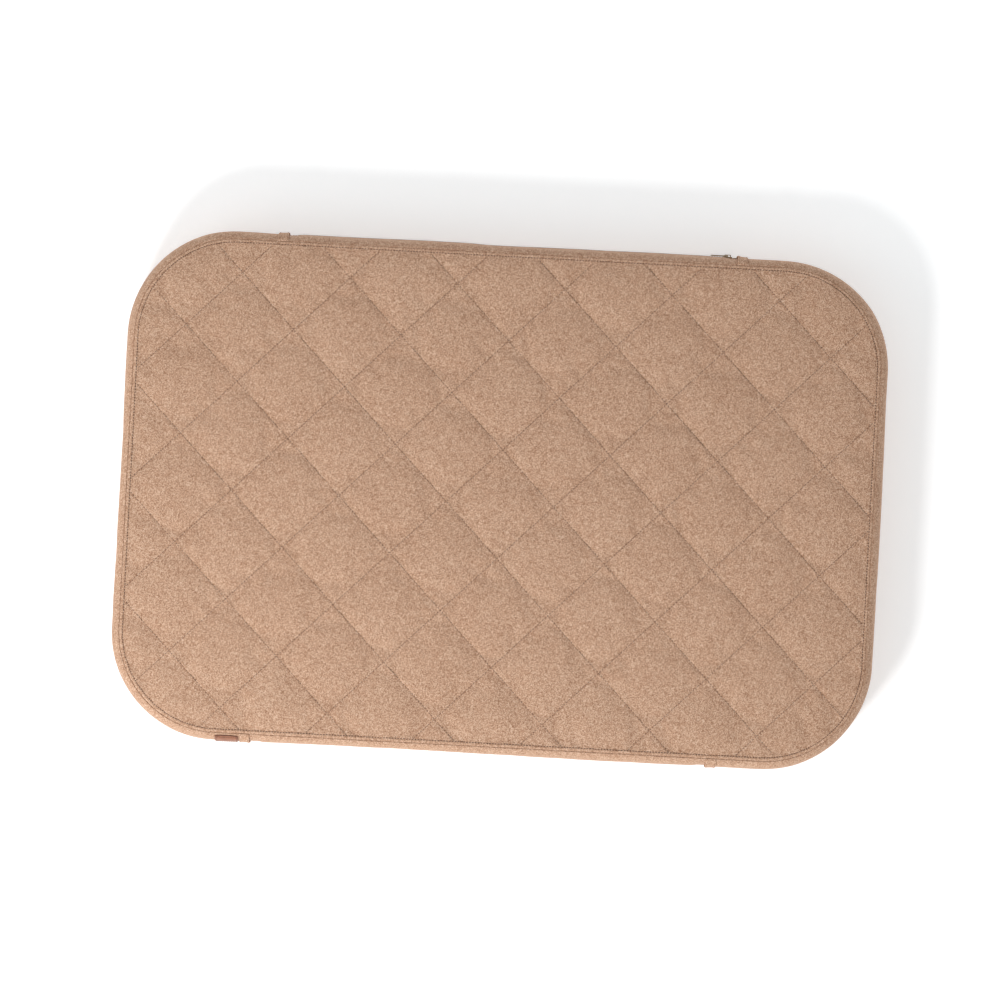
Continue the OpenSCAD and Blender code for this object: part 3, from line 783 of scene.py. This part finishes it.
def make_quilting_stitches():
    pitch, length = 4.5 * MM, 2.7 * MM
    reach = math.ceil(HALF_X / PITCH_X + HALF_Y / PITCH_Y)
    middles, along = [], []
    for lean in (1, -1):
        direction = np.array([PITCH_X, lean * PITCH_Y]) / math.hypot(PITCH_X, PITCH_Y)
        for k in range(-reach, reach):
            start = np.array([(k + 0.5) * PITCH_X, QUILT_Y])
            steps = (np.arange(-400, 400) + 0.5) * pitch
            places = start + steps[:, None] * direction
            inside = edge_distance(places[:, 0], places[:, 1], EDGE_INSET + 2 * MM) < 0
            middles.append(places[inside])
            along.append(np.tile(direction, (inside.sum(), 1)))
    flat, along = np.concatenate(middles), np.concatenate(along)
    z = face_plane(flat[:, 0], flat[:, 1]) + 0.1 * MM
    direction = np.column_stack([along, np.zeros(len(along))])
    up = np.tile([0.0, 0, 1], (len(along), 1))
    stitches(
        "quilting_stitches", np.column_stack([flat, z]), direction, up, length, 0.38 * MM,
        THREAD, "thread", seed=3, stands_for=["quilting_thread"],
    )


def make_edge_stitches():
    pitch, length = 4.0 * MM, 2.5 * MM
    s = np.arange(0, RIM_L - pitch / 2, RIM_L / round(RIM_L / pitch))
    core, out = rim(s)
    places = core + out * (CORNER_R - EDGE_INSET)
    along = np.column_stack([-out[:, 1], out[:, 0], np.zeros(len(s))])
    normal = np.column_stack([0.35 * out, np.ones(len(s))])
    middles = np.column_stack([places, np.full(len(s), FACE_ROLL[0][1] * MM + 0.2 * MM)])
    stitches(
        "edge_stitches", middles, along, normal, length, 0.58 * MM, THREAD, "thread",
        slant=0.16, seed=5, stands_for=["edge_thread"],
    )


# ---- Plies swept round the rim ----


def smooth_step(value):
    value = np.clip(value, 0, 1)
    return value * value * (3 - 2 * value)


def ringed(name, rows, material, slot, step=6 * MM, lumps=0.0, seed=0, lift=None, **more):
    """A closed form swept round the rim. Each row is (share of the way out, inset, height) in mm,
    from the middle of the top out, down and back to the middle of the bottom. lift gives how far
    each row's points rise, from their row number and place."""
    s = np.linspace(0, RIM_L, round(RIM_L / step), endpoint=False)
    core, out = rim(s)
    points = []
    for number, (share, inset, height) in enumerate(rows):
        flat = share * (core + out * (CORNER_R - inset * MM))
        z = np.full(len(s), height * MM)
        if lumps:
            z = z + lumps * noise(flat[:, 0], flat[:, 1], 60 * MM, 60 * MM, seed)
        if lift:
            z = z + lift(number, flat[:, 0], flat[:, 1])
        points.append(np.column_stack([flat, z]))
    points = np.stack(points, 1)
    index = np.arange(points.shape[0] * points.shape[1]).reshape(points.shape[:2])
    caps = [index[:, 0].tolist(), index[::-1, -1].tolist()]
    faces = [f[::-1] for f in quads(index, loop=True)] + caps
    return piece(name, points, faces, material, slot, uv=points[..., :2], **more)


def inward(inset, height):
    """Rows from the middle of a flat face to near its edge."""
    return [(share, inset, height) for share in (0.02, 0.2, 0.4, 0.6, 0.8, 0.95)]


def turn(radius, inset, top, down=1):
    """Rows of a round edge from a flat face at that height to the side at that inset; down is -1
    where the side goes up from the face."""
    angles = np.radians([0, 22, 45, 68, 90])
    return [
        (1, inset + radius * (1 - math.sin(p)), top - down * radius * (1 - math.cos(p))) for p in angles
    ]


def slab_rows(top, bottom, inset, radius, waist=0.0):
    """Rows of a slab with round edges whose side pulls in by waist."""
    upper = turn(radius, inset, top)
    lower = [(1, i, top + bottom - z) for _, i, z in upper[::-1]]
    middle = [(1, inset + waist, (top + bottom) / 2)]
    return inward(inset, top) + upper + middle + lower + inward(inset, bottom)[::-1]


def make_foam_slabs():
    for node, name, material, slot in (
        ("foam_comfort_layer", "comfort_foam_slab", COMFORT_FOAM, "comfort_foam"),
        ("foam_support_layer", "support_foam_slab", SUPPORT_FOAM, "support_foam"),
    ):
        low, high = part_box(node)
        inset = (HALF_X - high.x) / MM
        rows = slab_rows(high.z / MM, low.z / MM, inset, 2.5, 0.6)
        ringed(name, rows, material, slot, stands_for=[node])


def make_batting(face_points):
    """The batting, close under the face as it is."""
    low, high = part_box("top_batting")
    inset = HALF_X - high.x + 3.5 * MM
    flat, faces, edge = cut_diamonds(diamond_cuts([0, 3, 8, 16, 28, 40]), inset)
    tree = KDTree(len(face_points))
    for number, point in enumerate(face_points):
        tree.insert((point[0], point[1], 0), number)
    tree.balance()
    nearest = [[found[1] for found in tree.find_n((x, y, 0), 5)] for x, y in flat]
    top = face_points[np.array(nearest), 2].min(1) - FACE_T - 0.6 * MM
    heights = (top, np.full(len(flat), low.z))
    points = np.concatenate([np.column_stack([flat, z]) for z in heights])
    count = len(flat)
    closing = np.stack([edge, edge + count, np.roll(edge, -1) + count, np.roll(edge, -1)], -1).tolist()
    faces = faces + [[p + count for p in face[::-1]] for face in faces] + closing
    obj = piece("quilt_batting", points, faces, BATTING, "batting", stands_for=["top_batting"])


def make_backing():
    low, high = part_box("top_backing")
    inset = (HALF_X - high.x) / MM + 0.5
    rows = slab_rows(high.z / MM, low.z / MM, inset, 0.4)
    obj = ringed(
        "quilt_backing", rows, BACKING, "backing", lumps=0.1 * MM, seed=51, stands_for=["top_backing"]
    )


def make_base():
    """The non-slip base: its edge turns up into the bottom seam, and rubber dots stand out of it."""
    flat_z = 0.45
    turned = [(9.5, 1.75), (8.4, 2.2), (8.15, 1.6), (8.4, 1.0), (9.2, 0.62), (10.6, flat_z)]
    edge = [(1, *place) for place in turned]
    rows = inward(9.5, BASE_T / MM) + edge + inward(10.6, flat_z)[::-1]
    obj = ringed("base_sheet", rows, BASE_CLOTH, "base_fabric", step=4 * MM, stands_for=["bottom_panel"])
    pitch, sides = 11 * MM, 6
    columns, lines = round(2 * HALF_X / pitch), round(2 * HALF_Y / (pitch * 0.866))
    i, j = np.meshgrid(np.arange(-columns, columns), np.arange(-lines, lines), indexing="ij")
    x, y = ((i + 0.5 * (j % 2)) * pitch).ravel(), (j * pitch * 0.866).ravel()
    inside = edge_distance(x, y, 17 * MM) < 0
    x, y = x[inside], y[inside]
    angles = 2 * np.pi * np.arange(sides) / sides
    rings = []
    for radius, z in ((2.1, flat_z + 0.05), (1.75, 0.14), (1.0, 0.0)):
        px, py = x[:, None] + radius * MM * np.cos(angles), y[:, None] + radius * MM * np.sin(angles)
        rings.append(np.stack([px, py, np.full_like(px, z * MM)], -1))
    one = np.arange(3 * sides).reshape(3, sides)
    walls = [
        [one[r, k], one[r + 1, k], one[r + 1, (k + 1) % sides], one[r, (k + 1) % sides]]
        for r in range(2)
        for k in range(sides)
    ]
    starts = np.arange(len(x)) * 3 * sides
    faces = (np.array(walls)[None] + starts[:, None, None]).reshape(-1, 4).tolist()
    faces += (one[2, ::-1][None] + starts[:, None]).tolist()
    piece("base_grip_dots", np.stack(rings, 1), faces, RUBBER, "base_fabric")


# ---- Side bands, tabs and patch ----

TOP_T = SIDE_T[-1]
WAVES = 101
REAR_JOINT_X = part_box("rear_right_tab")[0].x
FRONT_LEFT_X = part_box("front_left_tab")[1].x
FRONT_RIGHT_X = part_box("front_right_tab")[0].x
TAB_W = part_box("front_right_tab")[1].x - FRONT_RIGHT_X
TAB_T = -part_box("front_left_tab")[0].y - HALF_Y
LAP = FRONT_LEFT_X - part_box("front_band")[0].x
DIP_W, DIP_H = 14 * MM, 1.3 * MM


def wrap(name, node, s0, s1):
    """An end band: round one short end and its corners, between two joints."""
    edge = BAND_T / 2
    s, t = np.meshgrid(spaced(s0, s1, 2.2 * MM, edge), side_rows(0, TOP_T, edge), indexing="ij")
    points = side(s, t, 0, side_waves(s, t, WAVES) - BAND_T / 2)
    sheet_piece(
        name, points, np.stack([s, t], -1), BAND_T, SIDE_CLOTH, "side_fabric", "stretched",
        ["comfort_foam_slab", "support_foam_slab"], stands_for=[node],
    )


def centre_depth(s, t, s0, s1):
    """How far a middle band is set in: lapped under the end bands at both joints, dipped beside
    them, and out almost flush between."""
    inside = np.minimum(s - s0, s1 - s)
    lapped = smooth_step(-inside / (2 * MM) + 0.2)
    dip = 1 - smooth_step((inside - DIP_W * 0.7) / (DIP_W * 0.8))
    fade = smooth_step(np.minimum(t, TOP_T - t) / (13 * MM))
    out = (0.3 * MM + dip * DIP_H) * fade
    under = BAND_T + 0.6 * MM
    return out * (1 - lapped) + under * lapped


def centre_band(name, node, s0, s1, t0, t1, seed):
    """A middle band between two joints, its ends trimmed where they run on under the end bands."""
    edge = BAND_T / 2
    columns = spaced(s0 - LAP, s1 + LAP, 2.2 * MM, edge)
    s, t = np.meshgrid(columns, side_rows(t0, t1, edge), indexing="ij")
    lapped = smooth_step(-np.minimum(s - s0, s1 - s) / (2 * MM) + 0.2)
    trim_low, trim_high = (8 * MM * lapped * k for k in (t0 < 1 * MM, t1 > TOP_T - 1 * MM))
    t = t0 + trim_low + (t - t0) * ((t1 - trim_high) - (t0 + trim_low)) / (t1 - t0)
    waves = side_waves(s, t, seed) * (1 - lapped)
    points = side(s, t, centre_depth(s, t, s0, s1), waves - BAND_T / 2)
    sheet_piece(
        name, points, np.stack([s, t], -1), BAND_T, SIDE_CLOTH, "side_fabric", "stretched",
        ["comfort_foam_slab", "support_foam_slab"], stands_for=[node],
    )


FRONT_S = (FRONT_LEFT_X, FRONT_RIGHT_X)
REAR_S = (rear_s(REAR_JOINT_X), rear_s(-REAR_JOINT_X))
WINDOW_T = (t_at(WINDOW_LOW_Z), t_at(WINDOW_HIGH_Z))


def make_bands():
    wrap("right_end_wrap", "right_end_band", FRONT_RIGHT_X, REAR_S[0])
    wrap("left_end_wrap", "left_end_band", REAR_S[1], RIM_L + FRONT_LEFT_X)
    centre_band("front_side", "front_band", *FRONT_S, 0, TOP_T, 201)
    centre_band("rear_upper_side", "rear_upper_band", *REAR_S, WINDOW_T[1], TOP_T, 301)
    centre_band("rear_lower_side", "rear_lower_band", *REAR_S, 0, WINDOW_T[0], 301)


def make_window_stitches():
    """Stitches that hold the zip's tapes behind the edges of the opening."""
    pitch = 3.6 * MM
    sets = []
    for t in (WINDOW_T[0] - 2.6 * MM, WINDOW_T[1] + 2.6 * MM):
        s = np.arange(REAR_S[0] + 3 * MM, REAR_S[1] - 3 * MM, pitch)
        proud = side_waves(s, np.full_like(s, t), 301) + 0.1 * MM
        sets.append(along_side(s, t, centre_depth(s, t, *REAR_S), proud))
    here, ahead, _, out = (np.concatenate(k) for k in zip(*sets))
    stitches("opening_stitches", here, ahead, out, 2.9 * MM, 0.36 * MM, THREAD, "thread", seed=7)


def tab_proud(s, t, s0, flare):
    """How far a tab's own middle stands out: it has a free edge that lifts by flare at s0, and its
    top end goes into the seam."""
    free = smooth_step((TOP_T - t) / (7 * MM))
    lift = flare * (1 - np.clip(np.abs(s - s0) / TAB_W, 0, 1)) ** 2
    return 0.5 * side_waves(s, t, WAVES) + TAB_T / 2 * (0.2 + 0.8 * free) + lift * free


def make_tabs():
    """Folded strips over the joints, and the stitches down both their edges."""
    low_t, top_t = t_at(2.2 * MM), TOP_T - 1.4 * MM
    edge = TAB_T / 2
    left_s = RIM_L + FRONT_LEFT_X
    runs = [
        ("front_left", left_s - TAB_W, left_s, left_s, 0.5),
        ("front_right", FRONT_RIGHT_X, FRONT_RIGHT_X + TAB_W, FRONT_RIGHT_X, 0.5),
        ("rear_right", REAR_S[0] - TAB_W, REAR_S[0], REAR_S[0], 1.8),
        ("rear_left", REAR_S[1], REAR_S[1] + TAB_W, REAR_S[1], 0.6),
    ]
    sets = []
    for name, s0, s1, free, flare in runs:
        s, t = np.meshgrid(spaced(s0, s1, 1.6 * MM, edge), side_rows(low_t, top_t, edge), indexing="ij")
        points = side(s, t, 0, tab_proud(s, t, free, flare * MM))
        sheet_piece(
            name + "_folded_tab", points, np.stack([s, t], -1), TAB_T, TAB_CLOTH, "tab_fabric", "folded",
            ["left_end_wrap" if "left" in name else "right_end_wrap"], stands_for=[name + "_tab"],
        )
        down = np.arange(low_t + 3 * MM, top_t - 5 * MM, 3.4 * MM)
        for at in (s0 + 1.9 * MM, s1 - 1.9 * MM):
            place = np.full_like(down, at)
            proud = tab_proud(place, down, free, flare * MM) + TAB_T / 2 + 0.08 * MM
            here, _, up, out = along_side(place, down, 0, proud)
            sets.append((here, up, out))
    here, up, out = (np.concatenate(k) for k in zip(*sets))
    stitches("tab_stitches", here, up, out, 2.8 * MM, 0.3 * MM, TAN_THREAD, "thread", seed=9)


PATCH_LO, PATCH_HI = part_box("label_patch")
PATCH_HALF = (PATCH_HI.x - PATCH_LO.x) / 2
PATCH_S = RIM_L + (PATCH_LO.x + PATCH_HI.x) / 2
PATCH_T = t_at(PATCH_HI.z) - PATCH_HALF
PATCH_THICK = 1.8 * MM
LEATHER = make_leather("tan_leather", PATCH_HALF)


def patch_points(u, v, proud=0.0):
    """Points of the patch's outer face at u across and v up from its middle."""
    s, t = PATCH_S + u, PATCH_T + v
    return side(s, t, 0, side_waves(s, t, WAVES) + PATCH_THICK / 2 + proud)


def make_patch():
    """A leather square with softened corners, and a plain diamond pressed into it."""
    line = spaced(-1, 1, 0.012, 0.03)
    a, b = np.meshgrid(line, line, indexing="ij")
    soften = 0.13
    u, v = a * np.sqrt(1 - soften * b * b) * PATCH_HALF, b * np.sqrt(1 - soften * a * a) * PATCH_HALF
    mark = (np.abs(u) + np.abs(v)) / MM
    pressed = np.exp(-(((mark - 9.5) / 0.75) ** 2)) + np.exp(-(((mark - 3.6) / 0.7) ** 2))
    dome = (1 - np.clip(np.maximum(np.abs(a), np.abs(b)), 0, 1) ** 6) * 0.35
    points = patch_points(u, v, (dome - 0.42 * pressed) * MM)
    half = PATCH_THICK / 2
    every, faces, uv = shell(points, np.stack([a, b], -1) * PATCH_HALF, PATCH_THICK)
    piece(
        "leather_patch", every, faces, LEATHER, "patch_leather", uv=uv, stands_for=["label_patch"]
    )
    inset, pitch = 2.9 * MM, 3.2 * MM
    side_l = PATCH_HALF - inset
    places = np.arange(-side_l + pitch / 2, side_l, pitch)
    far = np.full_like(places, side_l)
    sets = []
    for u, v, upright in ((places, far, 0), (places, -far, 0), (far, places, 1), (-far, places, 1)):
        here = patch_points(u, v, half + 0.25 * MM)
        step = 0.4 * MM
        across = patch_points(u + step, v, half) - patch_points(u - step, v, half)
        up = patch_points(u, v + step, half) - patch_points(u, v - step, half)
        sets.append((here, up if upright else across, np.cross(across, up)))
    here, along, out = (np.concatenate(k) for k in zip(*sets))
    stitches(
        "patch_stitches", here, along, out, 2.6 * MM, 0.36 * MM, THREAD, "thread",
        seed=13, stands_for=["patch_thread"],
    )


# ---- Zips ----


def tape_grid(u0, u1, v0, v1):
    """A fine grid for a zip's tape, closer together at its edges."""
    columns, rows = spaced(u0, u1, 6 * MM, 0.3 * MM), spaced(v0, v1, 1.2 * MM, 0.3 * MM)
    return np.meshgrid(columns, rows, indexing="ij")


def tape(name, node, s0, s1, t0, t1):
    """One of the cover's tapes, between two places round the rim and two up the side."""
    s, t = tape_grid(s0, s1, t0, t1)
    points = side(s, t, 3.5 * MM, 0.06 * MM * noise(s, t, 22 * MM, 9 * MM, 61))
    every, faces, uv = shell(points, np.stack([s, t], -1), 0.6 * MM)
    obj = piece(name, every, faces, TAPE_CLOTH, "zip_tape", uv=uv, stands_for=[node])


def coil(name, node, material, slot, shift):
    """One half of a zip's coil: a filament wound in flat loops, with a turn for each tooth."""
    low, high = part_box(node)
    wire, pitch, per_turn, sides = 0.34 * MM, 1.5 * MM, 8, 5
    turns = int((high.x - low.x - 2 * wire) / pitch)
    angle = 2 * np.pi * np.arange(turns * per_turn) / per_turn
    centre = (low + high) / 2
    half_y, half_z = (high.y - low.y) / 2 - wire, (high.z - low.z) / 2 - wire
    x = low.x + wire + pitch * (angle / (2 * np.pi)) + shift * pitch
    radial = np.stack([np.zeros_like(angle), np.cos(angle), np.sin(angle)], -1)
    line = np.stack([x, centre.y + half_y * np.cos(angle), centre.z + half_z * np.sin(angle)], -1)
    tangent = np.gradient(line, axis=0)
    tangent /= np.linalg.norm(tangent, axis=1, keepdims=True)
    normal = radial - tangent * (radial * tangent).sum(1, keepdims=True)
    normal /= np.linalg.norm(normal, axis=1, keepdims=True)
    other = np.cross(tangent, normal)
    turn = 2 * np.pi * np.arange(sides) / sides
    points = line[:, None] + wire * (
        np.cos(turn)[None, :, None] * normal[:, None] + np.sin(turn)[None, :, None] * other[:, None]
    )
    index = np.arange(points.shape[0] * sides).reshape(-1, sides)
    around = np.concatenate([index, index[:, :1]], 1)
    faces = quads(around) + [index[0].tolist(), index[-1, ::-1].tolist()]
    piece(name, points, faces, material, slot, stands_for=[node])


def finish_metal(names, material, width):
    """Gives the frame's own metal parts their finish and softened edges."""
    for name in names:
        obj = frame["nodes"][name]
        obj.data.materials.clear()
        obj.data.materials.append(material)
        bevel = obj.modifiers.new("softened", "BEVEL")
        bevel.width, bevel.segments = width, 2
        bevel.limit_method, bevel.angle_limit = "ANGLE", math.radians(35)


def make_zips():
    """Both zips, except for the liner's tapes."""
    low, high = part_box("zip_upper_tape")
    s0, s1 = rear_s(high.x), rear_s(low.x)
    gap = 0.6 * MM
    belly_t = t_at(BELLY_Z)
    reach = high.z - BELLY_Z
    tape("upper_zip_tape", "zip_upper_tape", s0, s1, belly_t + gap, belly_t + reach)
    tape("lower_zip_tape", "zip_lower_tape", s0, s1, belly_t - reach, belly_t - gap)
    coil("upper_zip_coil", "zip_upper_coil", COIL, "zip_coil", 0.0)
    coil("lower_zip_coil", "zip_lower_coil", COIL, "zip_coil", 0.5)
    coil("upper_liner_coil", "liner_upper_coil", LINER_COIL, "liner_zip_coil", 0.0)
    coil("lower_liner_coil", "liner_lower_coil", LINER_COIL, "liner_zip_coil", 0.5)
    finish_metal(["zip_slider", "zip_pull", "zip_top_stops", "zip_bottom_stop"], BRASS, 0.22 * MM)
    finish_metal(["liner_slider", "liner_top_stops", "liner_bottom_stop"], STEEL, 0.22 * MM)


def make_liner_tapes():
    for half in ("upper", "lower"):
        node = "liner_" + half + "_tape"
        low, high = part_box(node)
        x, z = tape_grid(low.x, high.x, low.z, high.z)
        y = (low.y + high.y) / 2 + 0.05 * MM * noise(x, z, 24 * MM, 8 * MM, 71)
        uv = np.stack([-x, z], -1)
        every, faces, flat = shell(np.stack([x, y, z], -1)[::-1], uv[::-1], high.y - low.y)
        obj = piece(
            half + "_liner_tape", every, faces, LINER_TAPE, "liner_zip_tape", uv=flat, stands_for=[node]
        )


# ---- Liner ----


def make_liner():
    """The coated inner case in two halves, with its zip's opening between them at the rear."""
    _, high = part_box("liner_top")
    bottom_low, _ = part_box("liner_bottom")
    inset = (HALF_X - high.x) / MM
    zip_low, zip_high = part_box("liner_upper_coil")
    split = zip_low.z / MM - 0.6
    opening_half, opening_x = 6.0, zip_high.x + 4.8 * MM
    cloth = 0.8

    def rows(top, end):
        """Rows of a half from the middle of its flat face to the end of its wall and back inside."""
        radius, down = 4.0, 1 if top > end else -1
        outer = inward(inset, top) + turn(radius, inset, top, down)
        walls = [(1, inset, top + (end - top) * k) for k in (0.3, 0.5, 0.7, 0.85, 1.0)]
        inner_inset, inner_top = inset + cloth, top - down * cloth
        inner_walls = [(1, inner_inset, z) for _, _, z in walls[::-1]]
        inner = inward(inner_inset, inner_top) + turn(radius - cloth, inner_inset, inner_top, down)
        made = outer + walls + inner_walls + inner[::-1]
        first = len(outer) + 2
        return made, range(first, len(outer) + len(walls) + 3)

    for name, node, top, sign in (
        ("liner_top_sheet", "liner_top", high.z / MM, 1),
        ("liner_bottom_sheet", "liner_bottom", bottom_low.z / MM, -1),
    ):
        made, moved = rows(top, split + sign * 0.15)
        walls = {k: made[k][2] for k in moved}
        reach = abs(top - split)
        last = len(made) - 1

        def lift(number, x, y, walls=walls, sign=sign, reach=reach, last=last):
            wall = walls.get(number if sign > 0 else last - number)
            if wall is None:
                return 0.05 * MM * noise(x, y, 40 * MM, 40 * MM, 81)
            window = smooth_step((opening_x - np.abs(x)) / (1 * MM) + 0.5) * (y > CORE_Y)
            near = 1 - abs(wall - split) / (reach * 0.75)
            return sign * window * opening_half * MM * max(0.0, near)

        if sign < 0:
            made = made[::-1]
        obj = ringed(name, made, LINER, "liner_fabric", step=5 * MM, lift=lift, stands_for=[node])


# ---- Stage ----


KEY_LIGHT = {"place": (-1.2, -2.2, 2.2), "size": 0.7, "power": 68}
FILL_LIGHT = {"place": (-1.8, -0.2, 1.6), "size": 1.5, "power": 7}
SURROUND = 0.54
FLOOR_GLOW = 0.31  # lifts the floor to the white of a photographer's paper
CAMERA_HEIGHT = 9.0
CAMERA_FIELD, CAMERA_TURN = math.radians(8.96), math.radians(3.05)


def make_floor():
    """A pale floor that curves up into a low wall far away on every side."""
    sides = 96
    angles = 2 * np.pi * np.arange(sides) / sides
    rows = [(1, 0), (18, 0), (21, 0.4), (23, 1.6), (24.2, 3.6), (25, 7), (25, 12)]
    rings = [
        np.column_stack([radius * np.cos(angles), radius * np.sin(angles), np.full(sides, height)])
        for radius, height in rows
    ]
    index = np.arange(len(rows) * sides).reshape(len(rows), sides)
    faces = [f[::-1] for f in quads(index.T, loop=True)] + [index[0].tolist()]
    mesh = bpy.data.meshes.new("floor")
    mesh.from_pydata(np.concatenate(rings).tolist(), [], faces)
    mesh.polygons.foreach_set("use_smooth", [True] * len(faces))
    m = Shader("floor_paper", 0.9)
    m.colour(m.mix(m.noise(m.place(), 2.0, 2.0), rgb(248, 248, 248), rgb(250, 250, 250)))
    m.bsdf.inputs["Emission Color"].default_value = (0.93, 0.975, 1, 1)
    m.bsdf.inputs["Emission Strength"].default_value = FLOOR_GLOW
    mesh.materials.append(m.material)
    floor = bpy.data.objects.new("floor", mesh)
    bpy.context.scene.collection.objects.link(floor)


def area_light(name, place, size, power):
    lamp = bpy.data.lights.new(name, "AREA")
    lamp.shape, lamp.size, lamp.energy = "DISK", size, power
    obj = bpy.data.objects.new(name, lamp)
    obj.location = place
    obj.rotation_euler = (-Vector(place)).to_track_quat("-Z", "Y").to_euler()
    bpy.context.scene.collection.objects.link(obj)


def make_lights():
    """A key light from the front left, a weak broad fill from the left, and an even white surround."""
    area_light("key", **KEY_LIGHT)
    area_light("fill", **FILL_LIGHT)
    world = bpy.data.worlds.new("surround")
    world.use_nodes = True
    background = world.node_tree.nodes["Background"]
    background.inputs["Color"].default_value = (1, 1, 1, 1)
    background.inputs["Strength"].default_value = SURROUND
    bpy.context.scene.world = world
    bpy.context.scene.view_settings.view_transform = "Standard"


def make_camera():
    """Straight above the bed, which lies turned a little clockwise in the picture."""
    data = bpy.data.cameras.new("camera")
    data.angle = CAMERA_FIELD
    camera = bpy.data.objects.new("camera", data)
    camera.location = (0, 0, CAMERA_HEIGHT)
    camera.rotation_euler = (0, 0, CAMERA_TURN)
    bpy.context.scene.collection.objects.link(camera)
    bpy.context.scene.camera = camera


face_points = make_face()
make_quilting_stitches()
make_edge_stitches()
make_batting(face_points)
make_backing()
make_bands()
make_window_stitches()
make_tabs()
make_patch()
make_base()
make_zips()
make_liner()
make_liner_tapes()
make_foam_slabs()
make_floor()
make_lights()
make_camera()
